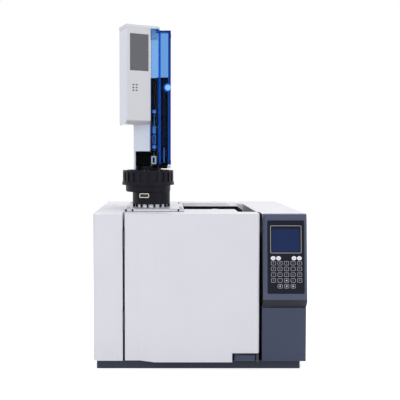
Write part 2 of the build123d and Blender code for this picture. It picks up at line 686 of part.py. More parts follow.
control_bezel.part.label = "control_bezel"
export_step(control_bezel.part, "parts/control_bezel.step")

with BuildPart() as keypad_overlay:
    with BuildSketch(panel_plane):
        with Locations((0, overlay_height / 2)):
            RectangleRounded(overlay_width, overlay_height, overlay_radius)
        with Locations((0, window_rise + window_height / 2)):
            Rectangle(window_width, window_height, mode=Mode.SUBTRACT)
        for x in softkey_offsets:
            with Locations((x, softkey_rise)):
                Ellipse(softkey_width / 2 + softkey_clearance, softkey_height / 2 + softkey_clearance,
                        mode=Mode.SUBTRACT)
    extrude(amount=overlay_thickness)
    with BuildSketch(panel_plane.offset(overlay_thickness)):
        for row, keys in enumerate(key_rows):
            with Locations((key_shift, key_rise - row * key_pitch_z)):
                with GridLocations(key_pitch_x, 0, keys, 1):
                    RectangleRounded(key_width, key_height, overlay_radius)
        with Locations((0, window_rise + window_height / 2)):
            RectangleRounded(window_width + 2 * frame_border, window_height + 2 * frame_border,
                             overlay_radius)
            RectangleRounded(window_width + frame_border, window_height + frame_border,
                             overlay_radius - key_emboss, mode=Mode.SUBTRACT)
    extrude(amount=key_emboss)
keypad_overlay.part.label = "keypad_overlay"
export_step(keypad_overlay.part, "parts/keypad_overlay.step")

with BuildPart() as lcd_screen:
    with BuildSketch(panel_plane):
        with Locations((0, window_rise + window_height / 2)):
            Rectangle(window_width - 2 * screen_clearance, window_height - 2 * screen_clearance)
    extrude(amount=overlay_thickness - screen_drop)
lcd_screen.part.label = "lcd_screen"
export_step(lcd_screen.part, "parts/lcd_screen.step")


def push_key(offset_x, label):
    """One oval push key: cap through overlay and bezel, with a lip that stops behind the wall."""
    with BuildPart() as key:
        with BuildSketch(panel_plane.offset(-bezel_wall)):
            with Locations((offset_x, softkey_rise)):
                Ellipse(softkey_width / 2, softkey_height / 2)
        extrude(amount=bezel_wall + overlay_thickness + softkey_proud)
        fillet(key.edges().sort_by(lambda edge: panel_plane.to_local_coords(edge.center()).Z)[-1],
               radius=softkey_proud / 3)
        with BuildSketch(panel_plane.offset(-bezel_wall)):
            with Locations((offset_x, softkey_rise)):
                Ellipse(softkey_width / 2 + softkey_side_lip, softkey_height / 2 + softkey_lip)
        extrude(amount=-softkey_lip)
    key.part.label = label
    return key.part


for number, offset_x in enumerate(softkey_offsets, start=1):
    export_step(push_key(offset_x, f"softkey_{number}"), f"parts/softkey_{number}.step")

with BuildPart() as lower_cover:
    block(column_left, right, front - lower_cover_depth, front, base, bezel_bottom - bezel_gap)
    fillet(lower_cover.edges().group_by(Axis.Y)[0].filter_by(Axis.Z), radius=lower_cover_depth / 2)
lower_cover.part.label = "lower_cover"
export_step(lower_cover.part, "parts/lower_cover.step")

# Control board: circuit board on four stand-offs from the column's outer wall, with its power block.
board_front = 70.0
board_length = 280.0
board_rise = 70.0
board_height = 250.0
board_thickness = 1.6
board_standoff = 8.0
standoff_radius = 3.2
# Each block on the board: distance behind the board's front edge, length, rise, height, thickness.
board_blocks = ((150.0, 90.0, 20.0, 70.0, 42.0), (30.0, 90.0, 130.0, 70.0, 18.0))
board_x = right - sheet - board_standoff
with BuildPart() as control_board:
    block(board_x - board_thickness, board_x, front + board_front, front + board_front + board_length,
          base + board_rise, base + board_rise + board_height)
    for y in (front + board_front + board_standoff, front + board_front + board_length - board_standoff):
        for z in (base + board_rise + board_standoff, base + board_rise + board_height - board_standoff):
            with Locations(Plane(origin=(board_x, y, z), z_dir=(1, 0, 0))):
                Cylinder(standoff_radius, board_standoff, align=(Align.CENTER, Align.CENTER, Align.MIN))
    for block_back, block_length, block_rise, block_height, block_thickness in board_blocks:
        block_y = front + board_front + block_back
        block_z = base + board_rise + block_rise
        block(board_x - board_thickness - block_thickness, board_x - board_thickness,
              block_y, block_y + block_length, block_z, block_z + block_height)
control_board.part.label = "control_board"
export_step(control_board.part, "parts/control_board.step")

# ================================================================ back
duct_size = 124.0
duct_wall = 3.0
duct_rise = 250.0          # middle of the exhaust duct above the plinth
duct_flange = 10.0
flap_clearance = 1.0
flap_thickness = 2.0
flap_setback = 8.0
flap_pin_radius = 2.0
duct_x = oven_middle
duct_z = base + duct_rise
duct_inside = duct_size / 2 - duct_wall
louver_count = 9
louver_pitch = 14.0
louver_length = 70.0
louver_width = 5.0
louver_rise = 70.0
inlet_width = 28.0
inlet_height = 21.0
inlet_flange = 8.0
inlet_from_right = 52.0
inlet_rise = 62.0
inlet_depth = 24.0
inlet_proud = 3.0
switch_width = 21.0
switch_height = 28.0
switch_rise = 92.0
fitting_pitch = 32.0
fitting_count = 3
fitting_from_left = 60.0
fitting_rise = 330.0
thread_radius = 4.0
thread_length = 14.0
thread_bore = 1.6
thread_clearance = 0.2
nut_height = 6.0
nut_radius = 8.0
inlet_centre_x = right - inlet_from_right
inlet_z = base + inlet_rise
switch_z = base + switch_rise
back_plane = Plane(origin=(0, back, 0), x_dir=(1, 0, 0), z_dir=(0, -1, 0))
gas_x = [left + fitting_from_left + fitting_pitch * number for number in range(fitting_count)]
gas_z = base + fitting_rise

with BuildPart() as back_panel:
    block(left, right, back - sheet, back, base, cover_top)
    fillet(back_panel.edges().filter_by(Axis.Y).group_by(Axis.Z)[-1], radius=small_radius)
    block(duct_x - duct_inside, duct_x + duct_inside, back - sheet, back,
          duct_z - duct_inside, duct_z + duct_inside, mode=Mode.SUBTRACT)
    block(inlet_centre_x - inlet_width / 2, inlet_centre_x + inlet_width / 2, back - sheet, back,
          inlet_z - inlet_height / 2, inlet_z + inlet_height / 2, mode=Mode.SUBTRACT)
    block(inlet_centre_x - switch_width / 2, inlet_centre_x + switch_width / 2, back - sheet, back,
          switch_z - switch_height / 2, switch_z + switch_height / 2, mode=Mode.SUBTRACT)
    for x in gas_x:
        rod_back(x, gas_z, back - sheet, back, thread_radius + thread_clearance, mode=Mode.SUBTRACT)
    with BuildSketch(back_plane):
        with Locations((fan_x, base + louver_rise + louver_pitch * (louver_count - 1) / 2)):
            with GridLocations(louver_length + 3 * louver_width, louver_pitch, 3, louver_count):
                SlotOverall(louver_length, louver_width)
    extrude(amount=-sheet, mode=Mode.SUBTRACT)
back_panel.part.label = "back_panel"
export_step(back_panel.part, "parts/back_panel.step")

# Exhaust duct: a square collar on the back panel, with a flap that swings out about its upper edge.
flap_y = back + rear_reach - flap_setback
flap_top = duct_z + duct_inside - flap_clearance - flap_pin_radius
with BuildPart() as exhaust_duct:
    with BuildSketch(Plane(origin=(duct_x, back, duct_z), x_dir=(1, 0, 0), z_dir=(0, 1, 0))):
        RectangleRounded(duct_size + 2 * duct_flange, duct_size + 2 * duct_flange, duct_flange)
    extrude(amount=duct_wall)
    block(duct_x - duct_size / 2, duct_x + duct_size / 2, back, back + rear_reach,
          duct_z - duct_size / 2, duct_z + duct_size / 2)
    block(duct_x - duct_inside, duct_x + duct_inside, back, back + rear_reach,
          duct_z - duct_inside, duct_z + duct_inside, mode=Mode.SUBTRACT)
    with BuildSketch(Plane(origin=(duct_x - duct_size / 2, flap_y, flap_top), x_dir=(0, 1, 0),
                           z_dir=(1, 0, 0))):
        Circle(flap_pin_radius + pin_clearance)
    extrude(amount=duct_size, mode=Mode.SUBTRACT)
exhaust_duct.part.label = "exhaust_duct"
export_step(exhaust_duct.part, "parts/exhaust_duct.step")

with BuildPart() as exhaust_flap:
    block(duct_x - duct_inside + flap_clearance, duct_x + duct_inside - flap_clearance,
          flap_y - flap_thickness / 2, flap_y + flap_thickness / 2,
          duct_z - duct_inside + flap_clearance, flap_top)
    with BuildSketch(Plane(origin=(duct_x - duct_size / 2, flap_y, flap_top), x_dir=(0, 1, 0),
                           z_dir=(1, 0, 0))):
        Circle(flap_pin_radius)
    extrude(amount=duct_size)
exhaust_flap.part.label = "exhaust_flap"
export_step(exhaust_flap.part, "parts/exhaust_flap.step")

# Power module: one moulding with the flanged socket, its three blades and the switch's recess.
blade_pitch = 7.0
blade_steps = ((-1.0, -0.4), (0.0, 0.4), (1.0, -0.4))     # places of the three blades, in pitches
blade_width = 2.0
blade_height = 4.0
recess_wall = 2.0
rocker_tip = 7.0
rocker_gap = 0.4
rocker_depth = 9.0         # rocker's front edge before its pivot
rocker_pin_radius = 1.5
rocker_root = 3.0          # half the rocker's thickness at its pivot
rocker_tail = 4.0          # half its height behind the pivot, and its depth at the ends
rocker_dip = 2.0           # hollow in the rocker's face
rocker_setback = 6.0
rocker_y = back - rocker_setback
switch_depth = 18.0
with BuildPart() as power_inlet:
    block(inlet_centre_x - inlet_width / 2, inlet_centre_x + inlet_width / 2, back - inlet_depth,
          back + inlet_proud, inlet_z - inlet_height / 2, inlet_z + inlet_height / 2)
    block(inlet_centre_x - switch_width / 2, inlet_centre_x + switch_width / 2, back - switch_depth,
          back + inlet_proud, switch_z - switch_height / 2, switch_z + switch_height / 2)
    block(inlet_centre_x - inlet_width / 2 - inlet_flange, inlet_centre_x + inlet_width / 2 + inlet_flange,
          back, back + inlet_proud, inlet_z - inlet_height / 2 - recess_wall,
          switch_z + switch_height / 2 + recess_wall)
    block(inlet_centre_x - inlet_width / 2 + recess_wall, inlet_centre_x + inlet_width / 2 - recess_wall,
          back - inlet_depth + recess_wall, back + inlet_proud,
          inlet_z - inlet_height / 2 + recess_wall, inlet_z + inlet_height / 2 - recess_wall,
          mode=Mode.SUBTRACT)
    for step_x, step_z in blade_steps:
        x = inlet_centre_x + step_x * blade_pitch
        z = inlet_z + step_z * blade_pitch
        block(x - blade_width / 2, x + blade_width / 2, back - inlet_depth, back - inlet_proud,
              z - blade_height / 2, z + blade_height / 2)
    block(inlet_centre_x - switch_width / 2 + recess_wall, inlet_centre_x + switch_width / 2 - recess_wall,
          back - switch_depth + recess_wall, back + inlet_proud, switch_z - switch_height / 2 + recess_wall,
          switch_z + switch_height / 2 - recess_wall, mode=Mode.SUBTRACT)
    with BuildSketch(Plane(origin=(inlet_centre_x - switch_width / 2, rocker_y, switch_z),
                           x_dir=(0, 1, 0), z_dir=(1, 0, 0))):
        Circle(rocker_pin_radius + pin_clearance)
    extrude(amount=switch_width, mode=Mode.SUBTRACT)
power_inlet.part.label = "power_inlet"
export_step(power_inlet.part, "parts/power_inlet.step")

# Rocker of the switch: it tips about its middle and rests tipped to one side.
rocker_half = switch_height / 2 - recess_wall - 5 * rocker_gap
rocker_width = switch_width - 2 * recess_wall - 2 * rocker_gap
with BuildPart() as power_switch:
    with BuildSketch(Plane(origin=(inlet_centre_x - rocker_width / 2, rocker_y, switch_z),
                           x_dir=(0, 1, 0), z_dir=(1, 0, 0))):
        Polygon((-rocker_root, -rocker_tail), (-rocker_root, rocker_tail),
                (rocker_depth - rocker_tail, rocker_half), (rocker_depth, rocker_half),
                (rocker_depth - rocker_dip, 0), (rocker_depth, -rocker_half),
                (rocker_depth - rocker_tail, -rocker_half), rotation=rocker_tip, align=None)
    extrude(amount=rocker_width)
    with BuildSketch(Plane(origin=(inlet_centre_x - switch_width / 2, rocker_y, switch_z),
                           x_dir=(0, 1, 0), z_dir=(1, 0, 0))):
        Circle(rocker_pin_radius)
    extrude(amount=switch_width)
power_switch.part.label = "power_switch"
export_step(power_switch.part, "parts/power_switch.step")

# Gas fittings: three bulkhead fittings, each with a hexagon, a threaded end and a blind bore.
with BuildPart() as gas_fittings:
    for x in gas_x:
        fitting_plane = Plane(origin=(x, back, gas_z), x_dir=(1, 0, 0), z_dir=(0, 1, 0))
        with BuildSketch(fitting_plane):
            RegularPolygon(nut_radius, 6)
        extrude(amount=nut_height)
        rod_back(x, gas_z, back - 3 * sheet, back + nut_height + thread_length, thread_radius)
        rod_back(x, gas_z, back + nut_height, back + nut_height + thread_length, thread_bore,
                 mode=Mode.SUBTRACT)
gas_fittings.part.label = "gas_fittings"
export_step(gas_fittings.part, "parts/gas_fittings.step")

# ---------------------------------------------------------------- driving sizes: sampler
sampler_from_left = 157.0      # carousel's axis, from the cabinet's left side
sampler_from_front = 171.0     # carousel's axis, from the cabinet's front
plate_from_left = 89.0
plate_from_front = 58.0
plate_width = 178.0
plate_depth = 242.0
plate_height = 8.5
plate_chamfer = 1.0
screw_radius = 4.0
screw_height = 2.5
screw_inset = 9.0
post_count = 17
post_width = 5.0
post_height = 9.0
post_depth = 6.0
drum_radius = 59.0
drum_shift = 10.0              # drum's axis to the right of the carousel's axis
drum_height = 37.5
drum_wall = 4.0
skirt_radius = 70.5
skirt_height = 21.0
skirt_chamfer = 3.0
carousel_gap = 0.5
flange_radius = 82.0
flange_height = 9.2
carousel_radius = 79.8
carousel_height = 36.3
rib_count = 22
rib_slot_width = 10.0
rib_slot_depth = 3.5
rib_margin = 6.5
hub_radius = 41.0
hub_height = 14.0
hub_chamfer = 2.0
spindle_radius = 5.0
well_radius = 6.1
well_depth = 30.0
vial_clearance = 0.3
vial_proud = 2.0
syringe_right = 20.0           # syringe's axis to the right of the carousel's axis
syringe_forward = 57.0         # syringe's axis in front of the carousel's axis
tower_gap = 1.0
tower_height = 423.0           # frame's lower edge to the top of the cap
cap_height = 8.4
column_width_back = 50.0
column_depth_back = 34.0
column_gap_back = 3.0
frame_wall = 4.0

# ---------------------------------------------------------------- places worked out: sampler
carousel_x = left + sampler_from_left
carousel_y = front + sampler_from_front
drum_x = carousel_x + drum_shift
plate_left = left + plate_from_left
plate_right = plate_left + plate_width
plate_front = front + plate_from_front
plate_back = plate_front + plate_depth
plate_top = cover_top + plate_height
drum_bottom = plate_top + post_height
drum_top = drum_bottom + drum_height
skirt_top = drum_top + skirt_height
flange_bottom = skirt_top + carousel_gap
flange_top = flange_bottom + flange_height
carousel_top = flange_top + carousel_height
hub_top = carousel_top + hub_height
tower_bottom = hub_top + tower_gap
tower_top = tower_bottom + tower_height
cap_bottom = tower_top - cap_height
syringe_x = carousel_x + syringe_right
syringe_y = carousel_y - syringe_forward
well_circle = hypot(syringe_right, syringe_forward)
well_angle = degrees(atan2(-syringe_forward, syringe_right))

with BuildPart() as mounting_plate:
    block(plate_left, plate_right, plate_front, plate_back, cover_top, plate_top)
    fillet(mounting_plate.edges().filter_by(Axis.Z), radius=small_radius)
    chamfer(mounting_plate.edges().group_by(Axis.Z)[-1], length=plate_chamfer)
mounting_plate.part.label = "mounting_plate"
export_step(mounting_plate.part, "parts/mounting_plate.step")

screw_places = ((plate_left + screw_inset, plate_front + screw_inset),
                (plate_left + 3 * screw_inset, plate_front + screw_inset),
                (plate_right - screw_inset, plate_front + screw_inset),
                (plate_left + screw_inset, plate_front + 6 * screw_inset),
                (plate_right - screw_inset, plate_front + 6 * screw_inset),
                (plate_left + screw_inset, plate_back - screw_inset / 2),
                (plate_right - screw_inset, plate_back - screw_inset / 2))
with BuildPart() as plate_screws:
    for x, y in screw_places:
        post(x, y, plate_top, plate_top + screw_height, screw_radius)
        with BuildSketch(Plane.XY.offset(plate_top + screw_height / 2)):
            with Locations((x, y)):
                RegularPolygon(screw_radius / 2, 6)
        extrude(amount=screw_height, mode=Mode.SUBTRACT)
plate_screws.part.label = "plate_screws"
export_step(plate_screws.part, "parts/plate_screws.step")

# Pedestal: a drum on a ring of posts, with windows in front for its ports.
dsub_width = 31.0
dsub_height = 15.0
dsub_right = -20.5             # middle of the wide port, from the drum's axis
dsub_rise = 27.5               # middle of the wide port above the drum's lower edge
jack_radius = 5.0
jack_right = 5.2
jack_rise = 25.3
square_port = 12.0
square_right = 38.8
square_rise = 23.8
port_proud = 2.0
port_depth = 16.0
port_clearance = 0.2
dsub_rim = (5.0, 3.0)          # margins of the wide port's recess
dsub_recess = 4.0
jack_recess = 10.0
square_rim = 2.0
square_recess = 6.0
port_front = carousel_y - drum_radius - port_proud
square_front = carousel_y - sqrt(drum_radius ** 2 - square_right ** 2) - 2 * port_proud


def port_blocks(extra, mode):
    """The three ports on the pedestal's front, or their windows when extra is the clearance."""
    wide = drum_x + dsub_right
    high = drum_bottom + dsub_rise
    block(wide - dsub_width / 2 - extra, wide + dsub_width / 2 + extra, port_front, port_front + port_depth,
          high - dsub_height / 2 - extra, high + dsub_height / 2 + extra, mode=mode)
    rod_back(drum_x + jack_right, drum_bottom + jack_rise, port_front, port_front + port_depth,
             jack_radius + extra, mode=mode)
    side = drum_x + square_right
    high = drum_bottom + square_rise
    block(side - square_port / 2 - extra, side + square_port / 2 + extra, square_front,
          square_front + port_depth, high - square_port / 2 - extra, high + square_port / 2 + extra,
          mode=mode)


with BuildPart() as pedestal:
    with BuildSketch(Plane.XY.offset(plate_top)):
        with Locations((drum_x, carousel_y)):
            with PolarLocations(drum_radius - post_depth / 2, post_count, start_angle=90):
                Rectangle(post_depth, post_width)
    extrude(amount=post_height)
    post(drum_x, carousel_y, drum_bottom, drum_top, drum_radius)
    post(drum_x, carousel_y, drum_bottom + drum_wall, drum_top - drum_wall, drum_radius - drum_wall,
         mode=Mode.SUBTRACT)
    post(drum_x, carousel_y, drum_bottom, drum_bottom + drum_wall, drum_radius - 3 * drum_wall,
         mode=Mode.SUBTRACT)
    post(carousel_x, carousel_y, drum_top - drum_wall, drum_top, 2 * spindle_radius, mode=Mode.SUBTRACT)
    port_blocks(port_clearance, Mode.SUBTRACT)
pedestal.part.label = "pedestal"
export_step(pedestal.part, "parts/pedestal.step")

with BuildPart() as pedestal_ports:
    port_blocks(0, Mode.ADD)
    wide_middle = drum_x + dsub_right
    high_middle = drum_bottom + dsub_rise
    recess_x = dsub_width / 2 - dsub_rim[0]
    recess_z = dsub_height / 2 - dsub_rim[1]
    block(wide_middle - recess_x, wide_middle + recess_x, port_front, port_front + dsub_recess,
          high_middle - recess_z, high_middle + recess_z, mode=Mode.SUBTRACT)
    rod_back(drum_x + jack_right, drum_bottom + jack_rise, port_front, port_front + jack_recess,
             jack_radius / 2, mode=Mode.SUBTRACT)
    recess_half = square_port / 2 - square_rim
    block(drum_x + square_right - recess_half, drum_x + square_right + recess_half, square_front,
          square_front + square_recess, drum_bottom + square_rise - recess_half,
          drum_bottom + square_rise + recess_half, mode=Mode.SUBTRACT)
pedestal_ports.part.label = "pedestal_ports"
export_step(pedestal_ports.part, "parts/pedestal_ports.step")

with BuildPart() as carousel_skirt:
    post(carousel_x, carousel_y, drum_top, skirt_top, skirt_radius)
    chamfer(carousel_skirt.edges().group_by(Axis.Z)[0], length=skirt_chamfer)
    post(carousel_x, carousel_y, drum_top, skirt_top, spindle_radius + pin_clearance, mode=Mode.SUBTRACT)
carousel_skirt.part.label = "carousel_skirt"
export_step(carousel_skirt.part, "parts/carousel_skirt.step")

# Carousel: flanged drum with a ring of vial wells, slots between its ribs, and a raised hub.
with BuildPart() as carousel:
    post(carousel_x, carousel_y, flange_bottom, flange_top, flange_radius)
    post(carousel_x, carousel_y, flange_top, carousel_top, carousel_radius)
    with BuildSketch(Plane.XY.offset(flange_top + rib_margin / 3)):
        with Locations((carousel_x, carousel_y)):
            with PolarLocations(carousel_radius, rib_count, start_angle=well_angle):
                Rectangle(2 * rib_slot_depth, rib_slot_width)
    extrude(amount=carousel_height - rib_margin / 3 - rib_margin, mode=Mode.SUBTRACT)
    with BuildSketch(Plane.XY.offset(carousel_top)):
        with Locations((carousel_x, carousel_y)):
            with PolarLocations(well_circle, rib_count, start_angle=well_angle):
                Circle(well_radius)
    extrude(amount=-well_depth, mode=Mode.SUBTRACT)
    post(carousel_x, carousel_y, carousel_top, hub_top, hub_radius)
    chamfer(carousel.edges().group_by(Axis.Z)[-1], length=hub_chamfer)
    post(carousel_x, carousel_y, drum_top - drum_wall, flange_bottom, spindle_radius)
carousel.part.label = "carousel"
export_step(carousel.part, "parts/carousel.step")

# Vials stand in every well but the one under the needle and the one across from it.
vial_radius = well_radius - vial_clearance
well_step = 360 / rib_count
vial_span = 180 - 2 * well_step
with BuildPart() as vials:
    with BuildSketch(Plane.XY.offset(carousel_top - well_depth)):
        with Locations((carousel_x, carousel_y)):
            for half_start in (well_angle, well_angle + 180):
                with PolarLocations(well_circle, rib_count // 2 - 1, start_angle=half_start + well_step,
                                    angular_range=vial_span, endpoint=True):
                    Circle(vial_radius)
    extrude(amount=well_depth + vial_proud)
vials.part.label = "vials"
export_step(vials.part, "parts/vials.step")

# ---------------------------------------------------------------- driving sizes: tower
frame_front = 142.0            # tower frame's front face, from the cabinet's front
frame_right_of_syringe = 43.0
column_left_of_syringe = 17.0  # rear column's right side, from the syringe's axis
spine_width = 56.0
spine_height = 271.0
bay_height = 42.0              # open bay under the lower housing
bay_width = 44.0
bracket_thickness = 9.0
bracket_front = 106.0          # front of the needle bracket, from the cabinet's front
bracket_right = 13.0           # right side of the needle bracket, from the syringe's axis
needle_hole_radius = 1.2
rod_radius = 3.0
rod_clearance = 0.05
rod_back_of_syringe = 21.0
rod_right_of_syringe = 30.0
rod_pitch = 20.0
housing_width = 50.0
housing_front = 112.0          # lower housing's front face, from the cabinet's front
housing_rise = 44.0            # lower housing's lower edge above the frame's lower edge
housing_tongue = 6.0
housing_rounding = 2.0
tongue_depth = 36.0
tongue_drop = 57.0
display_rise = 126.0           # display housing's lower edge above the frame's lower edge
display_corner_left = 96.0     # front left corner: from the cabinet's left, from the front
display_corner_front = 63.0
display_turn = 24.6            # display face turned towards the right, degrees
display_width = 79.2
display_depth = 63.6
display_wall = 2.5
display_floor = 14.0
chin_height = 11.0
chin_depth = 20.0
display_foot = 2.0             # radius of the small foot under the housing's rear left corner
display_foot_height = 3.0
display_foot_inset = 4.0
glass_width = 60.0
glass_height = 110.0
glass_rise = 159.0             # glass's lower edge above the housing's lower edge
glass_offset = 1.2             # glass's middle past the face's middle
glass_depth = 1.5
cover_wall = 2.5
cover_gap = 0.6

frame_y = front + frame_front
column_right_x = syringe_x - column_left_of_syringe
column_left_x = column_right_x - column_width_back
column_front_y = carousel_y + flange_radius + column_gap_back
column_back_y = column_front_y + column_depth_back
spine_right = syringe_x + frame_right_of_syringe
spine_left = spine_right - spine_width
spine_top = tower_bottom + spine_height
bay_left = spine_left - bay_width
rod_y = syringe_y + rod_back_of_syringe
rod_x = (syringe_x + rod_right_of_syringe, syringe_x + rod_right_of_syringe - rod_pitch)
bracket_y = front + bracket_front
bracket_top = tower_bottom + bracket_thickness

# Tower frame: rear column on the plate, hollow spine in front of it, brackets for needle and rods.
with BuildPart() as tower_frame:
    block(column_left_x, column_right_x, column_front_y, column_back_y, plate_top, cap_bottom)
    fillet(tower_frame.edges().filter_by(Axis.Z), radius=small_radius)
    with BuildSketch(Plane(origin=(0, frame_y, 0), x_dir=(1, 0, 0), z_dir=(0, -1, 0))):
        with BuildLine():
            Polyline((bay_left, tower_bottom), (spine_right, tower_bottom), (spine_right, spine_top),
                     (spine_left, spine_top), (spine_left, tower_bottom + bay_height),
                     (bay_left, tower_bottom + bay_height), close=True)
        make_face()
    extrude(amount=frame_y - column_front_y)
    block(spine_left + frame_wall, spine_right - frame_wall, frame_y + frame_wall,
          column_front_y - frame_wall, tower_bottom + frame_wall, spine_top - frame_wall,
          mode=Mode.SUBTRACT)
    block(spine_left + frame_wall, spine_right - frame_wall, frame_y + 3 * frame_wall,
          column_front_y, tower_bottom + 3 * frame_wall, spine_top - 3 * frame_wall, mode=Mode.SUBTRACT)
    for low in (tower_bottom, spine_top - bracket_thickness):
        block(spine_right - spine_width / 2 - frame_wall, spine_right, rod_y - 2 * rod_radius, frame_y,
              low, low + bracket_thickness)
    block(syringe_x - 2 * rod_radius, syringe_x + bracket_right, bracket_y, frame_y,
          tower_bottom, bracket_top)
    post(syringe_x, syringe_y, tower_bottom, bracket_top, needle_hole_radius, mode=Mode.SUBTRACT)
    for x in rod_x:
        for low in (tower_bottom, spine_top - bracket_thickness):
            post(x, rod_y, low, low + bracket_thickness, rod_radius + rod_clearance, mode=Mode.SUBTRACT)
tower_frame.part.label = "tower_frame"
export_step(tower_frame.part, "parts/tower_frame.step")

with BuildPart() as guide_rods:
    for x in rod_x:
        post(x, rod_y, tower_bottom, spine_top, rod_radius)
guide_rods.part.label = "guide_rods"
export_step(guide_rods.part, "parts/guide_rods.step")

# ---------------------------------------------------------------- syringe and its two carriages
barrel_radius = 4.2
barrel_rise = 53.0             # barrel's lower end above the frame's lower edge
needle_rise = 5.0
barrel_bottom = tower_bottom + barrel_rise
barrel_length = 62.0
barrel_flange = 3.0
bore_floor = 2.0               # barrel's floor under its bore
plunger_floor = 4.0            # plunger's lower end above the barrel's lower end
bead_radius = 3.5
bead_height = 8.0
needle_radius = 0.6
needle_start = tower_bottom + needle_rise
plunger_radius = 1.5
plunger_clearance = 0.08
plunger_head_radius = 5.0
plunger_head_height = 3.0
plunger_out = 48.0             # plunger's free length above the barrel at rest
carriage_rise = 2.0
carriage_low = barrel_bottom + carriage_rise
carriage_height = 66.0
clamp_height = 10.0
carriage_depth = 8.0
plunger_carriage_height = 16.0
grip_clearance = 1.0
barrel_top = barrel_bottom + barrel_length

with BuildPart() as syringe:
    post(syringe_x, syringe_y, barrel_bottom, barrel_top, barrel_radius)
    post(syringe_x, syringe_y, barrel_top, barrel_top + barrel_flange, 2 * barrel_radius)
    post(syringe_x, syringe_y, barrel_bottom - bead_height, barrel_bottom, bead_radius)
    fillet(syringe.edges().group_by(Axis.Z)[0], radius=bead_radius / 2)
    post(syringe_x, syringe_y, needle_start, barrel_bottom - bead_height, needle_radius)
    post(syringe_x, syringe_y, barrel_bottom + bore_floor, barrel_top + barrel_flange,
         plunger_radius + plunger_clearance, mode=Mode.SUBTRACT)
syringe.part.label = "syringe"
export_step(syringe.part, "parts/syringe.step")

plunger_top = barrel_top + barrel_flange + plunger_out
with BuildPart() as plunger:
    post(syringe_x, syringe_y, barrel_bottom + plunger_floor, plunger_top, plunger_radius)
    post(syringe_x, syringe_y, plunger_top - plunger_head_height, plunger_top, plunger_head_radius)
plunger.part.label = "plunger"
export_step(plunger.part, "parts/plunger.step")

carriage_left = rod_x[1] - 2 * rod_radius
carriage_right = rod_x[0] + 2 * rod_radius
arm_left = syringe_x - 2 * rod_radius - cut_margin
arm_right = syringe_x + 2 * barrel_radius
with BuildPart() as syringe_carriage:
    block(carriage_left, carriage_right, rod_y - carriage_depth / 2, rod_y + carriage_depth / 2,
          carriage_low, carriage_low + carriage_height)
    for low in (carriage_low, carriage_low + carriage_height - 2 * clamp_height):
        block(arm_left, arm_right, syringe_y - 2 * rod_radius, rod_y + carriage_depth / 2,
              low, low + clamp_height)
        block(arm_left, carriage_left, rod_y - carriage_depth / 2, rod_y + carriage_depth / 2,
              low, low + clamp_height)
    post(syringe_x, syringe_y, carriage_low, carriage_low + carriage_height, barrel_radius + rod_clearance,
         mode=Mode.SUBTRACT)
    for x in rod_x:
        post(x, rod_y, carriage_low, carriage_low + carriage_height, rod_radius + rod_clearance,
             mode=Mode.SUBTRACT)
syringe_carriage.part.label = "syringe_carriage"
export_step(syringe_carriage.part, "parts/syringe_carriage.step")

# The upper carriage grips the plunger's head in a slotted arm.
grip_low = plunger_top - plunger_head_height / 2 - plunger_carriage_height / 2
with BuildPart() as plunger_carriage:
    block(carriage_left, carriage_right, rod_y - carriage_depth / 2, rod_y + carriage_depth / 2,
          grip_low, grip_low + plunger_carriage_height)
    block(arm_left, arm_right, syringe_y - 2 * rod_radius, rod_y + carriage_depth / 2,
          grip_low, grip_low + plunger_carriage_height)
    post(syringe_x, syringe_y, grip_low, plunger_top, plunger_radius + grip_clearance, mode=Mode.SUBTRACT)
    post(syringe_x, syringe_y, plunger_top - plunger_head_height, plunger_top,
         plunger_head_radius + rod_clearance, mode=Mode.SUBTRACT)
    for x in rod_x:
        post(x, rod_y, grip_low, grip_low + plunger_carriage_height, rod_radius + rod_clearance,
             mode=Mode.SUBTRACT)
plunger_carriage.part.label = "plunger_carriage"
export_step(plunger_carriage.part, "parts/plunger_carriage.step")

# ---------------------------------------------------------------- tower housings
housing_right = spine_left
housing_left = housing_right - housing_width
housing_y = front + housing_front
housing_bottom = tower_bottom + housing_rise
display_bottom = tower_bottom + display_rise
with BuildPart() as lower_housing:
    block(housing_left, housing_right, housing_y, column_front_y, housing_bottom, display_bottom)
    block(housing_left, housing_left + housing_tongue, housing_y, housing_y + tongue_depth,
          housing_bottom - tongue_drop, housing_bottom)
    fillet(lower_housing.edges().filter_by(Axis.Z).group_by(Axis.Y)[0], radius=housing_rounding)
    block(housing_left + display_wall, housing_right, housing_y + display_wall, column_front_y,
          housing_bottom + display_wall, display_bottom, mode=Mode.SUBTRACT)
lower_housing.part.label = "lower_housing"
export_step(lower_housing.part, "parts/lower_housing.step")

# Display housing: a box whose face is turned towards the right, grown into the tower's body behind it.
corner_x = left + display_corner_left
corner_y = front + display_corner_front
turn = radians(display_turn)
face_end_x = corner_x + display_width * cos(turn)
face_end_y = corner_y + display_width * sin(turn)
body_right = column_right_x
body_left = column_left_x
face_plane = Plane(origin=(corner_x, corner_y, display_bottom), x_dir=(cos(turn), sin(turn), 0),
                   z_dir=(sin(turn), -cos(turn), 0))
turned_plane = Plane(origin=(corner_x, corner_y, display_bottom), x_dir=(cos(turn), sin(turn), 0),
                     z_dir=(0, 0, 1))
chin_x = corner_x - cut_margin * cos(turn)
chin_y = corner_y - cut_margin * sin(turn)
chin_plane = Plane(origin=(chin_x, chin_y, display_bottom),
                   x_dir=(-sin(turn), cos(turn), 0), z_dir=(cos(turn), sin(turn), 0))
rear_corner_x = corner_x - display_depth * sin(turn)
rear_corner_y = corner_y + display_depth * cos(turn)
body_front = rear_corner_y + display_wall
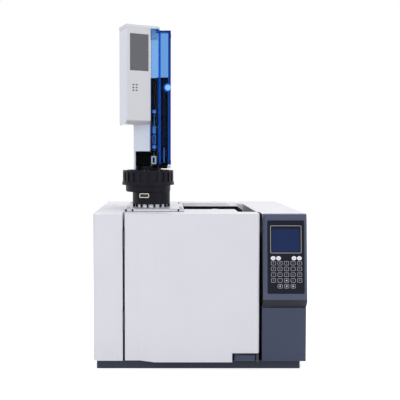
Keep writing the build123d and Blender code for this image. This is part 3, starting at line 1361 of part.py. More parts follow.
with BuildPart() as display_housing:
    with BuildSketch(turned_plane):
        with Locations((display_width / 2, display_depth / 2)):
            RectangleRounded(display_width, display_depth, small_radius)
    extrude(amount=cap_bottom - display_bottom)
    block(body_left, body_right, body_front, column_front_y, display_bottom, cap_bottom)
    with BuildSketch(chin_plane):
        Polygon((0, 0), (chin_depth, 0), (0, chin_height), align=None)
    extrude(amount=display_width + 2 * cut_margin, mode=Mode.SUBTRACT)
    with BuildSketch(turned_plane):
        with Locations((display_foot_inset, display_depth - display_foot_inset)):
            Circle(display_foot)
    extrude(amount=-display_foot_height)
    with BuildSketch(turned_plane.offset(display_floor)):
        with Locations((display_width / 2, display_depth / 2)):
            Rectangle(display_width - 2 * display_wall, display_depth - 2 * display_wall)
    extrude(amount=cap_bottom - display_bottom, mode=Mode.SUBTRACT)
    block(body_left + display_wall, body_right - display_wall, body_front + display_wall,
          column_front_y - display_wall, display_bottom + display_floor, cap_bottom, mode=Mode.SUBTRACT)
    with BuildSketch(face_plane):
        with Locations((display_width / 2 + glass_offset, glass_rise + glass_height / 2)):
            Rectangle(glass_width, glass_height)
    extrude(amount=-glass_depth, mode=Mode.SUBTRACT)
display_housing.part.label = "display_housing"
export_step(display_housing.part, "parts/display_housing.step")

with BuildPart() as display_glass:
    with BuildSketch(face_plane):
        with Locations((display_width / 2 + glass_offset, glass_rise + glass_height / 2)):
            Rectangle(glass_width - 2 * screen_clearance, glass_height - 2 * screen_clearance)
    extrude(amount=-glass_depth)
display_glass.part.label = "display_glass"
export_step(display_glass.part, "parts/display_glass.step")

# Transparent cover: a bulged strip over the syringe and a flat wing, hinged at the wing's right edge.
bulge_right = 17.0             # inner corner of strip and wing, from the syringe's axis
bulge_back = 6.0
crown_right = 9.5              # foremost point of the bulge, from the syringe's axis
crown_forward = 10.5
wing_back = 12.0
wing_right = 51.0
axis_inset = 2.5               # hinge axis, from the wing's right edge
axis_back = 5.5                # hinge axis, behind the wing's face
strip_rise = 41.0              # strip's lower edge above the frame's lower edge
wing_rise = 3.0
strip_corner = 10.0
return_depth = 6.5
return_margin = 27.0
notch_rise = 240.0             # finger notch above the frame's lower edge
notch_radius = 11.5
notch_inset = 9.0              # finger notch's middle, from the wing's right edge
cover_knuckle = 3.2
cover_pin = 1.5
cover_knuckle_height = 14.0
cover_arm = 2.6
cover_arm_height = 8.6
cover_pin_length = 11.0
crown_inset = 0.7              # inner crown's step from the outer one, in walls
lip_inset = (0.4, 0.9)         # inner corner of the strip's left edge, in walls
low_arm_overlap = 10.0         # how far each pivot arm reaches under frame and cap
high_arm_overlap = 12.0
cap_chamfer = 1.5
corner_px = syringe_x + bulge_right
wing_y = syringe_y + wing_back
wing_x = syringe_x + wing_right
axis_x = wing_x - axis_inset
axis_y = wing_y + axis_back
cover_bottom = tower_bottom + wing_rise
cover_up = cap_bottom - cover_gap
strip_x = face_end_x + cover_gap
strip_y = face_end_y + cover_gap
strip_bottom = tower_bottom + strip_rise
crown = (syringe_x + crown_right, syringe_y - crown_forward)
inner_crown = (crown[0] - crown_inset * cover_wall, crown[1] + crown_inset * cover_wall)
inner_lip = (strip_x - lip_inset[0] * cover_wall, strip_y + lip_inset[1] * cover_wall)

with BuildPart() as sampler_cover:
    with BuildSketch(Plane.XY.offset(cover_bottom)):
        with BuildLine():
            ThreePointArc((strip_x, strip_y), crown, (corner_px, syringe_y + bulge_back))
            Polyline((corner_px, syringe_y + bulge_back), (corner_px, wing_y), (wing_x, wing_y),
                     (wing_x, wing_y + cover_wall), (corner_px - cover_wall, wing_y + cover_wall),
                     (corner_px - cover_wall, syringe_y + bulge_back))
            ThreePointArc((corner_px - cover_wall, syringe_y + bulge_back), inner_crown, inner_lip)
            Line(inner_lip, (strip_x, strip_y))
        make_face()
    extrude(amount=cover_up - cover_bottom)
    with BuildSketch(Plane(origin=(0, wing_y, 0), x_dir=(1, 0, 0), z_dir=(0, -1, 0))):
        with BuildLine():
            Polyline((strip_x - 2 * cover_wall, cover_bottom), (corner_px, cover_bottom),
                     (corner_px, strip_bottom), (strip_x + strip_corner, strip_bottom),
                     (strip_x - 2 * cover_wall, strip_bottom + strip_corner), close=True)
        make_face()
    extrude(amount=2 * (wing_y - strip_y), mode=Mode.SUBTRACT)
    block(wing_x - cover_wall, wing_x, wing_y + cover_wall, wing_y + return_depth + cover_wall,
          cover_bottom + return_margin, cover_up - return_margin)
    rod_back(wing_x - notch_inset, tower_bottom + notch_rise, wing_y, wing_y + return_depth + cover_wall,
             notch_radius, mode=Mode.SUBTRACT)
    for low in (cover_bottom, cap_bottom - cover_arm_height - cover_gap - cover_knuckle_height):
        post(axis_x, axis_y, low, low + cover_knuckle_height, cover_knuckle)
        block(axis_x - cover_pin, axis_x + cover_pin, wing_y, axis_y, low, low + cover_knuckle_height)
        post(axis_x, axis_y, low, low + cover_knuckle_height, cover_pin + pin_clearance,
             mode=Mode.SUBTRACT)
sampler_cover.part.label = "sampler_cover"
export_step(sampler_cover.part, "parts/sampler_cover.step")

# Pivots of the cover: one arm under the frame's lower bracket, one under the cap, each with its pin.
cap_right = corner_px
with BuildPart() as cover_pivots:
    for reach, low, pin_low in (
            (spine_right - axis_x - low_arm_overlap, tower_bottom - cover_arm_height, tower_bottom),
            (cap_right - axis_x - high_arm_overlap, cap_bottom - cover_arm_height,
             cap_bottom - cover_arm_height - cover_pin_length)):
        post(axis_x, axis_y, low, low + cover_arm_height, cover_arm)
        block(axis_x + reach, axis_x, axis_y - cover_arm, axis_y + cover_arm, low, low + cover_arm_height)
        post(axis_x, axis_y, pin_low, pin_low + cover_pin_length, cover_pin)
cover_pivots.part.label = "cover_pivots"
export_step(cover_pivots.part, "parts/cover_pivots.step")

# Top cap: closes housing, column and cover from above, rounded over the syringe.
with BuildPart() as top_cap:
    with BuildSketch(Plane.XY.offset(cap_bottom)):
        with BuildLine():
            Line((corner_x, corner_y), (face_end_x, face_end_y))
            ThreePointArc((face_end_x, face_end_y), crown, (cap_right, syringe_y + bulge_back))
            Polyline((cap_right, syringe_y + bulge_back), (cap_right, column_back_y),
                     (column_left_x, column_back_y),
                     (column_left_x, rear_corner_y + (column_left_x - rear_corner_x) * sin(turn) / cos(turn)),
                     (rear_corner_x, rear_corner_y), (corner_x, corner_y))
        make_face()
    extrude(amount=cap_height)
    chamfer(top_cap.edges().group_by(Axis.Z)[-1], length=cap_chamfer)
top_cap.part.label = "top_cap"
export_step(top_cap.part, "parts/top_cap.step")
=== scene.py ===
# %% [markdown]
# # A gas chromatograph with a sampler tower
# The bench instrument is a painted cabinet with an oven door on the left and a control column on the
# right. A slim sampler tower stands on its top, over a round carousel of glass vials.
# The solid pieces come from the shared frame, already in place, in metres. This notebook gives them their
# finish, adds the fine pieces that sit on them, and sets up the floor, the light and the camera.

# %% Load the frame
import json
import math
import bmesh
import bpy
from mathutils import Matrix, Vector


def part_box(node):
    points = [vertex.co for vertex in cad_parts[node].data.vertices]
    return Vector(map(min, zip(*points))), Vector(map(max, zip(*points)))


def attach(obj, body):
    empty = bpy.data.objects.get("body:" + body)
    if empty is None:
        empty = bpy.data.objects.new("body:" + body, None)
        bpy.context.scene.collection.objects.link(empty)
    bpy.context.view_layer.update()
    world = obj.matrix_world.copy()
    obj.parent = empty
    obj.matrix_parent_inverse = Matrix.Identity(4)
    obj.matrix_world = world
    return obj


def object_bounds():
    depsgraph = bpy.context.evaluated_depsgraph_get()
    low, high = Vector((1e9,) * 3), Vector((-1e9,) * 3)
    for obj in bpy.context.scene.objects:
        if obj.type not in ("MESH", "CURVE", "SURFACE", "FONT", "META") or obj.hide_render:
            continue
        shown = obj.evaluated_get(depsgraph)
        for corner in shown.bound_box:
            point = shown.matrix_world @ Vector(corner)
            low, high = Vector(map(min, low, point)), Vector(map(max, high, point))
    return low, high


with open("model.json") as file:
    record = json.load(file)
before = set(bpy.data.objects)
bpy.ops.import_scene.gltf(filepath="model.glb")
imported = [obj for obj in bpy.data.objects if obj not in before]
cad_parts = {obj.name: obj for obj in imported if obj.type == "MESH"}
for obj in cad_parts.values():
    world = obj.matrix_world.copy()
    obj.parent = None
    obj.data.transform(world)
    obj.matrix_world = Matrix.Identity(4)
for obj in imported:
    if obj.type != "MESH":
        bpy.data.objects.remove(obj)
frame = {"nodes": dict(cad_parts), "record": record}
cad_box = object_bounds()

nodes = frame["nodes"]
print(len(nodes), "solid pieces, box", [round(v, 3) for v in cad_box[0]], [round(v, 3) for v in cad_box[1]])

# %% [markdown]
# ## The camera
# A longer lens from a few metres away keeps upright edges nearly upright. The camera stands a little left of
# the instrument's middle, at the height of the tower's foot, and tips down slightly. It could be turned
# towards the middle instead, but then the cabinet's front would taper. A small shift of the lens keeps the
# front square and still centres the view on the instrument.

# %% The camera
camera_x = -0.1059
camera_height = 0.6171
camera_distance = 1.7942     # from the cabinet's front
front_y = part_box("left_cover")[0][1]
lens_mm = 55.94
film_mm = 36.0
lens_shift = (0.0924, -0.0514)     # in widths of the frame
tip_down = 2.0                     # degrees
camera_data = bpy.data.cameras.new("picture_camera")
camera_data.lens = lens_mm
camera_data.sensor_width = film_mm
camera_data.shift_x, camera_data.shift_y = lens_shift
camera = bpy.data.objects.new("picture_camera", camera_data)
camera.location = (camera_x, front_y - camera_distance, camera_height)
camera.rotation_euler = (math.radians(90.0 - tip_down), 0.0, 0.0)
bpy.context.scene.collection.objects.link(camera)
bpy.context.scene.camera = camera
bpy.context.scene.view_settings.view_transform = "Standard"
print("camera", tuple(round(v, 3) for v in camera.location))

# %% [markdown]
# ## Floor, background and light
# A pale floor meets the object, and the background is plain white. The white comes from the materials
# themselves: where a ray leaves the camera directly, or is mirrored or passes through glass, floor and world
# answer with pure white. Every other ray sees a modest grey, so the background doesn't flood the object.
# The grey alone would leave the shapes flat, so three large soft lamps, one of them above, model them as in a
# small studio.

# %% Helpers for node trees
def new_material(name):
    """An empty node material with its output."""
    material = bpy.data.materials.new(name)
    material.use_nodes = True
    tree = material.node_tree
    tree.nodes.clear()
    output = tree.nodes.new("ShaderNodeOutputMaterial")
    return material, tree, output


def math_node(tree, operation, first, second, third=None):
    """One Math node; each input is a number or an output socket."""
    node = tree.nodes.new("ShaderNodeMath")
    node.operation = operation
    for number, value in enumerate((first, second, third)):
        if value is None:
            continue
        if isinstance(value, (int, float)):
            node.inputs[number].default_value = value
        else:
            tree.links.new(value, node.inputs[number])
    return node.outputs[0]


def direct_rays(tree):
    """One where a ray comes from the camera, a mirror or through glass, and zero elsewhere."""
    path = tree.nodes.new("ShaderNodeLightPath")
    direct = math_node(tree, "MAXIMUM", path.outputs["Is Camera Ray"], path.outputs["Is Glossy Ray"])
    return math_node(tree, "MAXIMUM", direct, path.outputs["Is Transmission Ray"])


print("node helpers ready")

# %% The floor
floor_grey = (0.93, 0.93, 0.93, 1.0)
floor_lift = 0.57     # brings the floor up to white where it is seen directly
floor_size = 60.0
floor_material, tree, output = new_material("pale_floor")
diffuse = tree.nodes.new("ShaderNodeBsdfDiffuse")
diffuse.inputs["Color"].default_value = floor_grey
glow = tree.nodes.new("ShaderNodeEmission")
glow.inputs["Strength"].default_value = floor_lift
adding = tree.nodes.new("ShaderNodeAddShader")
mixing = tree.nodes.new("ShaderNodeMixShader")
tree.links.new(direct_rays(tree), mixing.inputs[0])
tree.links.new(diffuse.outputs[0], mixing.inputs[1])
tree.links.new(diffuse.outputs[0], adding.inputs[0])
tree.links.new(glow.outputs[0], adding.inputs[1])
tree.links.new(adding.outputs[0], mixing.inputs[2])
tree.links.new(mixing.outputs[0], output.inputs["Surface"])

bpy.ops.object.select_all(action="DESELECT")
bpy.ops.mesh.primitive_plane_add(size=floor_size, location=(0.0, 0.0, cad_box[0][2]))
floor = bpy.context.active_object
floor.name = "studio_floor"
floor.data.materials.append(floor_material)
print("floor at", round(cad_box[0][2], 4))

# %% The world
ambient_tint = (0.95, 0.97, 1.0, 1.0)
ambient_strength = 0.52
world = bpy.data.worlds.new("studio_world")
bpy.context.scene.world = world
world.use_nodes = True
world_tree = world.node_tree
world_tree.nodes.clear()
world_output = world_tree.nodes.new("ShaderNodeOutputWorld")
seen = world_tree.nodes.new("ShaderNodeBackground")
seen.inputs["Color"].default_value = (1.0, 1.0, 1.0, 1.0)
seen.inputs["Strength"].default_value = 1.0
ambient = world_tree.nodes.new("ShaderNodeBackground")
ambient.inputs["Color"].default_value = ambient_tint
ambient.inputs["Strength"].default_value = ambient_strength
world_mix = world_tree.nodes.new("ShaderNodeMixShader")
world_tree.links.new(direct_rays(world_tree), world_mix.inputs[0])
world_tree.links.new(ambient.outputs[0], world_mix.inputs[1])
world_tree.links.new(seen.outputs[0], world_mix.inputs[2])
world_tree.links.new(world_mix.outputs[0], world_output.inputs["Surface"])
print("world strength", ambient_strength)


# %% The lamps
def soft_lamp(name, place, aim, size, power):
    """A square area lamp that points at a place."""
    lamp = bpy.data.lights.new(name, "AREA")
    lamp.shape = "SQUARE"
    lamp.size = size
    lamp.energy = power
    lamp_object = bpy.data.objects.new(name, lamp)
    lamp_object.location = place
    lamp_object.rotation_euler = (Vector(aim) - Vector(place)).to_track_quat("-Z", "Y").to_euler()
    bpy.context.scene.collection.objects.link(lamp_object)


lit_spot = (0.0, 0.0, 0.45)     # near the instrument's middle
soft_lamp("key_lamp", (-1.5, -2.6, 2.4), lit_spot, size=1.8, power=38.0)
soft_lamp("fill_lamp", (2.4, -2.2, 1.2), lit_spot, size=1.6, power=10.0)
soft_lamp("top_lamp", (0.2, 0.2, 2.8), lit_spot, size=2.0, power=34.0)
print("three lamps aim at", lit_spot)

# %% [markdown]
# ## Finishes
# Most of the surfaces are one of a few kinds: sprayed paint, moulded plastic, brushed or turned metal, and
# glass. Each is a Principled shader whose colour and roughness wander a little on noise in the piece's own
# Object coordinates, with a fine bump for the grain. A Bevel node rounds the light on sharp edges, as
# a real fold or moulded edge does. Pictures of paint could be wrapped round the pieces instead, but noise
# needs no unwrapping and stays sharp near by. One function builds them all, because they differ only in
# numbers.

# %% Helpers for colour, noise and masks
def linear(hex_colour):
    """The linear colour of a hex string such as dcdce4."""
    channels = [int(hex_colour[i:i + 2], 16) / 255.0 for i in (0, 2, 4)]
    return [c / 12.92 if c <= 0.04045 else ((c + 0.055) / 1.055) ** 2.4 for c in channels]


def noise(tree, coordinates, scale, stretch=(1.0, 1.0, 1.0), detail=3.0):
    """A noise texture on stretched Object coordinates."""
    mapping = tree.nodes.new("ShaderNodeMapping")
    mapping.inputs["Scale"].default_value = stretch
    tree.links.new(coordinates, mapping.inputs["Vector"])
    texture = tree.nodes.new("ShaderNodeTexNoise")
    texture.inputs["Scale"].default_value = scale
    texture.inputs["Detail"].default_value = detail
    tree.links.new(mapping.outputs[0], texture.inputs["Vector"])
    return texture.outputs["Fac"]


def inside_box(tree, coordinates, low, high):
    """One inside a box of Object coordinates, and zero outside it."""
    parts = tree.nodes.new("ShaderNodeSeparateXYZ")
    tree.links.new(coordinates, parts.inputs[0])
    answer = 1.0
    for axis in range(3):
        middle_value = (low[axis] + high[axis]) / 2.0
        half = (high[axis] - low[axis]) / 2.0
        near = math_node(tree, "COMPARE", parts.outputs[axis], middle_value, half)
        answer = math_node(tree, "MULTIPLY", near, answer)
    return answer


def mixed(tree, factor, first, second):
    """The first colour where the factor is zero, and the second where it is one."""
    mix = tree.nodes.new("ShaderNodeMix")
    mix.data_type = "RGBA"
    tree.links.new(factor, mix.inputs["Factor"])
    tree.links.new(first, mix.inputs["A"])
    if isinstance(second, list):
        mix.inputs["B"].default_value = second
    else:
        tree.links.new(second, mix.inputs["B"])
    return mix.outputs["Result"]


print("middle grey 808080 is", round(linear("808080")[0], 3), "in linear light")

# %% Helpers for a wandering tone and gloss
def wandering_tone(tree, coordinates, colour, spread, scale, stretch=(1.0, 1.0, 1.0), ends=(0.0, 1.0)):
    """The colour times the first number of spread, wandering on noise to it times the second."""
    ramp = tree.nodes.new("ShaderNodeValToRGB")
    for element, end, factor in zip(ramp.color_ramp.elements, ends, spread):
        element.position = end
        element.color = [min(1.0, c * factor) for c in linear(colour)] + [1.0]
    tree.links.new(noise(tree, coordinates, scale, stretch), ramp.inputs[0])
    return ramp.outputs[0]


def wandering_gloss(tree, coordinates, shader, low, high, scale, stretch=(1.0, 1.0, 1.0)):
    """Lets the shader's roughness wander on noise."""
    rough_range = tree.nodes.new("ShaderNodeMapRange")
    rough_range.inputs["To Min"].default_value = low
    rough_range.inputs["To Max"].default_value = high
    tree.links.new(noise(tree, coordinates, scale, stretch), rough_range.inputs[0])
    tree.links.new(rough_range.outputs[0], shader.inputs["Roughness"])


print("tone and gloss helpers ready")

# %% A function for painted, moulded and metal finishes
finishes = {}
tone_scale, gloss_scale = 9.0, 40.0     # how finely the tone and the gloss wander
tone_ends = (0.3, 0.7)                  # the part of the noise over which the tone changes
gloss_spread = 0.06
grain_depth = 0.0004


def finish(name, colour, rough, metal=0.0, grain=1200.0, bump=0.05, vary=0.04, stretch=(1, 1, 1),
           edge=0.0006, coat=0.0, shine=0.5, patches=()):
    """A surface with a wandering tone, a fine grain and softened edges.
    Each patch is (colour, low corner, high corner): painted shade or painted light in that colour inside the
    box."""
    material, tree, output = new_material(name)
    shader = tree.nodes.new("ShaderNodeBsdfPrincipled")
    shader.inputs["Metallic"].default_value = metal
    shader.inputs["Coat Weight"].default_value = coat
    shader.inputs["Specular IOR Level"].default_value = shine
    coordinates = tree.nodes.new("ShaderNodeTexCoord").outputs["Object"]
    tone = wandering_tone(tree, coordinates, colour, (1.0 - vary, 1.0 + vary), tone_scale, stretch, tone_ends)
    for patch_colour, low, high in patches:
        tone = mixed(tree, inside_box(tree, coordinates, low, high), tone, linear(patch_colour) + [1.0])
    tree.links.new(tone, shader.inputs["Base Color"])
    smoothest, roughest = max(0.02, rough - gloss_spread), min(1.0, rough + gloss_spread)
    wandering_gloss(tree, coordinates, shader, smoothest, roughest, gloss_scale, stretch)
    bumping = tree.nodes.new("ShaderNodeBump")
    bumping.inputs["Strength"].default_value = bump
    bumping.inputs["Distance"].default_value = grain_depth
    tree.links.new(noise(tree, coordinates, grain, stretch, 2.0), bumping.inputs["Height"])
    if edge > 0.0:
        rounding = tree.nodes.new("ShaderNodeBevel")
        rounding.inputs["Radius"].default_value = edge
        tree.links.new(rounding.outputs[0], bumping.inputs["Normal"])
    tree.links.new(bumping.outputs[0], shader.inputs["Normal"])
    tree.links.new(shader.outputs[0], output.inputs["Surface"])
    finishes[name] = material


print("finishes wander at scales", tone_scale, "and", gloss_scale)

# %% [markdown]
# ## Glass and tinted acrylic
# Glass and clear acrylic are a Principled shader with transmission. A mix of transparent and glossy shaders
# would also be clear, but it doesn't bend the light at thick edges. A sheet is thin here, so a small tint in
# its colour is enough, and its roughness wanders a little where hands have wiped it.

# %% A function for see-through finishes
tint_scale, smear_scale = 12.0, 60.0
tint_spread, smear_spread = 0.03, 0.05


def clear(name, colour, rough, index):
    """Transparent material with a faint smear in its gloss."""
    material, tree, output = new_material(name)
    shader = tree.nodes.new("ShaderNodeBsdfPrincipled")
    shader.inputs["Transmission Weight"].default_value = 1.0
    shader.inputs["IOR"].default_value = index
    coordinates = tree.nodes.new("ShaderNodeTexCoord").outputs["Object"]
    tone = wandering_tone(tree, coordinates, colour, (1.0 - tint_spread, 1.0 + tint_spread), tint_scale)
    tree.links.new(tone, shader.inputs["Base Color"])
    wandering_gloss(tree, coordinates, shader, rough, rough + smear_spread, smear_scale)
    tree.links.new(shader.outputs[0], output.inputs["Surface"])
    finishes[name] = material
    return material


print("see-through finishes wander at scales", tint_scale, "and", smear_scale)

# %% [markdown]
# ## The blue cover's edges
# A sheet of coloured acrylic looks pale from the front, and deep and bright along its cut or bent edges,
# because there the light has travelled a long way inside it. The cover's material therefore has a second,
# deeper colour in narrow bands: the bend between its bulged strip and its flat wing, the wing's outer edge,
# the top edges and a ring round the finger notch. The bands could be strips of their own, but masks made from
# Object coordinates leave the cover one bent sheet, as the real one is.

# %% Where the cover's bands are
cover_low, cover_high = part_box("sampler_cover")
sheet_wall, wing_width = 0.0025, 0.034
wing_edge = cover_high[0]
bend_x = wing_edge - wing_width - sheet_wall / 2
notch_x = wing_edge - 0.009
notch_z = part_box("tower_frame")[0][2] + 0.3685
edge_band, top_band, left_band = 0.0086, 0.003, 0.0012     # widths, from the edge inwards
bend_half = 0.0034
ring_radius, ring_half = 0.0125, 0.0028
everywhere = 10.0     # further than any edge, in metres
print("cover bands at x", round(bend_x, 4), round(wing_edge, 4))

# %% The cover's material
cover_rough, cover_index = 0.02, 1.15
deep_scale, deep_spread = 25.0, (0.75, 1.3)
edge_density = 0.6     # how much clearness an edge loses


def cover_finish(name, pale, wing, deep, bend):
    """Clear tinted acrylic with deeper bands at its edges."""
    tree = clear(name, pale, cover_rough, cover_index).node_tree
    shader = [n for n in tree.nodes if n.type == "BSDF_PRINCIPLED"][0]
    coordinates = tree.nodes.new("ShaderNodeTexCoord").outputs["Object"]
    no_low, no_high = (-everywhere,) * 3, (everywhere,) * 3
    bands = (((wing_edge - edge_band, -everywhere, -everywhere), no_high),
             ((bend_x, -everywhere, cover_high[2] - top_band), no_high),
             (no_low, (cover_low[0] + left_band, everywhere, everywhere)))
    bend_band = inside_box(tree, coordinates, (bend_x - bend_half, -everywhere, -everywhere),
                           (bend_x + bend_half, everywhere, everywhere))
    wing_band = inside_box(tree, coordinates, (bend_x, -everywhere, -everywhere), no_high)
    mask = 0.0
    for low, high in bands:
        mask = math_node(tree, "MAXIMUM", inside_box(tree, coordinates, low, high), mask)
    parts = tree.nodes.new("ShaderNodeSeparateXYZ")
    tree.links.new(coordinates, parts.inputs[0])
    across_ring = math_node(tree, "SUBTRACT", parts.outputs[0], notch_x)
    up_ring = math_node(tree, "SUBTRACT", parts.outputs[2], notch_z)
    radius = math_node(tree, "POWER", math_node(tree, "ADD", math_node(tree, "POWER", across_ring, 2.0),
                                                math_node(tree, "POWER", up_ring, 2.0)), 0.5)
    mask = math_node(tree, "MAXIMUM", math_node(tree, "COMPARE", radius, ring_radius, ring_half), mask)
    deep_tone = wandering_tone(tree, coordinates, deep, deep_spread, deep_scale, (1.0, 1.0, 0.1))
    tone = shader.inputs["Base Color"].links[0].from_socket
    tone = mixed(tree, wing_band, tone, linear(wing) + [1.0])
    tone = mixed(tree, bend_band, tone, linear(bend) + [1.0])
    tree.links.new(mixed(tree, mask, tone, deep_tone), shader.inputs["Base Color"])
    edges = math_node(tree, "MAXIMUM", mask, bend_band)
    clearness = math_node(tree, "SUBTRACT", 1.0, math_node(tree, "MULTIPLY", edges, edge_density))
    tree.links.new(clearness, shader.inputs["Transmission Weight"])


cover_finish("cover_blue", "78ace6", "689edd", "003c98", "1264d4")
print("the cover's edges lose", edge_density, "of their clearness")

# %% [markdown]
# ## Painted shade and painted light inside one finish
# Some pieces are given a second tone where light hardly reaches them, or where a face looks another way: a
# darker tone is painted shade and a lighter one painted light, not a colour of the real piece. Such a place
# could be cut off as a piece of its own, but a box of Object coordinates changes the colour there and leaves
# the piece whole. Each shade is a colour with the low and the high corner of its box.

# %% Painted shade of the cabinet and the panel
far = 1.0     # past the pieces' sides, in metres
lip_height = 0.026
bezel_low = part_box("control_bezel")[0]
nose_top = bezel_low[2] + lip_height - 0.0005
# Painted shade: the bezel's underside below its lip is darkened as if in its own shadow.
nose_shade = ("23242d", (-far, -far, -far), (far, far, nose_top))
# Painted shade: the faces in the gap between door and panel, on the bezel and the right cover, are near black
# as if in deep shadow.
gap_shade = ("0b0b11", (-far, -far, -far), (bezel_low[0] + 0.0005, -0.15, 0.4545))
rear_low, rear_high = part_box("rear_top_cover")
# Painted shade: a greyer area on the top cover's upper face behind the opening.
rear_shade = ("c9cacb", (rear_low[0] - far, rear_low[1] - 0.01, rear_high[2] - 0.0004),
              (rear_high[0] - 0.009, rear_low[1] + 0.36, far))
# Painted shade: the slot's right wall is grey as if in shade.
slot_shade = ("8f9094", (rear_high[0] - 0.0088, -far, -far),
              (rear_high[0] - 0.008, far, rear_high[2] - 0.001))
print("the panel's nose is dark below", round(nose_top, 4))

# %% Painted shade and painted light of the tower
port_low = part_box("pedestal_ports")[0]
# Painted shade: the two small ports are darkened as if shaded inside.
port_shade = ("17171b", (port_low[0] + 0.034, -far, -far), (far, far, far))
housing_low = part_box("display_housing")[0]
facet_x = housing_low[0] + 0.0249     # where the side facet turns into the display's face
# Painted light: the display housing's side facet is lighter as if lit from the left.
facet_painted_light = ("dbdde8", (-far, -far, -far), (facet_x, far, far))
# Painted shade: the housing's underside is darker as if in its own shadow.
under_shade = ("b6b6b6", (facet_x, -far, -far), (far, far, housing_low[2] + 0.0117))
cap_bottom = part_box("top_cap")[0][2]
# Painted light: the cap's underside over the cover's strip is painted white as if lit.
cap_painted_light = ("ffffff", (-0.146, -far, -far), (far, far, cap_bottom + 0.0003))
# Painted light: the guide rods' lower ends are lighter as if lit.
rod_painted_light = ("9aa4aa", (-0.113, -far, -far), (far, far, 0.66))
plate_low, plate_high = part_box("mounting_plate")
# Painted shade: a grey line along the plate's top front edge, as a rounded edge shows, and a dark line round
# its foot as a painted shadow.
plate_top_painted_shade = ("7f8291", (-far, -far, plate_high[2] - 0.0016), (far, plate_low[1] + 0.0016, far))
plate_bottom_painted_shadow = ("3c3e4a", (-far, -far, -far), (far, far, plate_low[2] + 0.0014))
print("the display housing's facet ends at x", round(facet_x, 4))

# %% [markdown]
# ## Paint
# The cabinet and the tower's housings are sprayed in a smooth pale paint, and the panel, the column and the
# plinth in slate. Paint has a fine even grain, called orange peel, so its bump is small and its noise fine.

# %% Paint
sheet_paint = {"grain": 1500, "bump": 0.08, "vary": 0.012}
tower_paint = {"grain": 1800, "bump": 0.05, "vary": 0.012}
slate_paint = {"grain": 1100, "bump": 0.2, "vary": 0.03, "shine": 0.3}
finish("cover_white", "dbdae1", 0.42, **sheet_paint)
# right_white, rear_white, housing_white, cap_white and bezel_slate carry the painted shade and painted light
# set out above.
finish("right_white", "dbdae1", 0.42, patches=(gap_shade,), **sheet_paint)
finish("rear_white", "dddce2", 0.45, patches=(rear_shade, slot_shade), **sheet_paint)
finish("tower_white", "d3d3da", 0.4, **tower_paint)
finish("lower_white", "cdd1de", 0.4, **tower_paint)
finish("housing_white", "cfcfd3", 0.4, patches=(facet_painted_light, under_shade), **tower_paint)
finish("cap_white", "d6d7de", 0.4, patches=(cap_painted_light,), **tower_paint)
finish("column_slate", "3c4359", 0.5, **slate_paint)
finish("bezel_slate", "4b5268", 0.5, patches=(nose_shade, gap_shade), **slate_paint)
finish("plinth_slate", "353947", 0.5, grain=900, bump=0.15, vary=0.05, shine=0.2)
print(len(finishes), "finishes so far")

# %% [markdown]
# ## Metal
# Steel, aluminium and brass share one function with the paint, with the Metallic socket at or near one.
# Brushing is noise stretched along one axis, which is simpler than an anisotropic shader and shows from every
# side. The oven's coil and motor are duller and rougher than the turned parts.

# %% Metal
across = (0.02, 1.0, 1.0)       # brushing that runs from side to side
turned = (1, 1, 6)              # fine rings round an upright axis
finish("liner_steel", "b9babb", 0.3, metal=1.0, grain=700, bump=0.1, vary=0.05, stretch=across)
finish("heater_metal", "5b5450", 0.55, metal=1.0, grain=500, bump=0.2, vary=0.2)
finish("motor_metal", "a0a3a6", 0.45, metal=1.0, grain=300, bump=0.3, vary=0.06)
finish("injector_metal", "bdbdbf", 0.25, metal=1.0, grain=900, bump=0.1, stretch=turned)
finish("hinge_dark", "35363b", 0.4, metal=0.5, grain=700, bump=0.1, vary=0.1)
finish("plain_steel", "b4b6ba", 0.28, metal=1.0, grain=900, bump=0.08, vary=0.05)
finish("brass", "c9a254", 0.25, metal=1.0, grain=900, bump=0.1, vary=0.05)
finish("bright_metal", "e6e2da", 0.22, metal=0.9, grain=900, bump=0.05)
# port_metal, rod_steel and the plate's second finish carry painted shade and painted light set out above.
finish("port_metal", "3a3634", 0.4, metal=0.3, grain=900, bump=0.04, shine=0.3, patches=(port_shade,))
finish("carriage_metal", "1b1c22", 0.45, metal=0.2, grain=900, bump=0.08, shine=0.15)
finish("rod_steel", "24262c", 0.35, metal=0.3, grain=900, bump=0.04, shine=0.2, patches=(rod_painted_light,))
finish("clamp_plate", "a9bad2", 0.3, metal=0.3, grain=900, bump=0.05, vary=0.03)
plate_metal = {"metal": 0.6, "grain": 900, "bump": 0.08, "vary": 0.03, "stretch": across}
finish("plate_silver", "d9dbe2", 0.35, **plate_metal)
finish("plate_with_painted_shade", "d9dbe2", 0.35, patches=(plate_top_painted_shade, plate_bottom_painted_shadow), **plate_metal)
print(len(finishes), "finishes so far")

# %% [markdown]
# ## Plastic, rubber and the oven's lining
# Moulded plastic is less even than paint and has a coarser grain. Insulation and gasket are soft and matt, so
# they have a strong bump and no rounded edge. The coated column is a thin brown tube wound many times: its
# noise is stretched so that the windings show.

# %% Plastic, rubber and lining
finish("rubber", "1c1c1e", 0.8, grain=500, bump=0.3, vary=0.1, shine=0.2)
finish("tray_black", "0c0c0e", 0.6, grain=900, bump=0.12, vary=0.08, shine=0.15)
finish("insulation", "d8d4c8", 0.95, grain=260, bump=0.8, vary=0.06, edge=0.0)
finish("gasket", "d6d2c6", 0.95, grain=350, bump=0.9, vary=0.08, edge=0.0)
finish("column_brown", "8a5220", 0.25, grain=2500, bump=0.6, vary=0.12, stretch=(0.05, 1.0, 0.05), coat=0.5)
finish("board_green", "1f6b3a", 0.4, grain=400, bump=0.3, vary=0.15)
finish("dark_plastic", "1d1d20", 0.5, grain=1000, bump=0.15, vary=0.08, shine=0.25)
finish("guard_grey", "3f3e44", 0.55, grain=1000, bump=0.15, vary=0.08, shine=0.25)
finish("tower_black", "10101b", 0.42, grain=1200, bump=0.15, vary=0.06, shine=0.15)
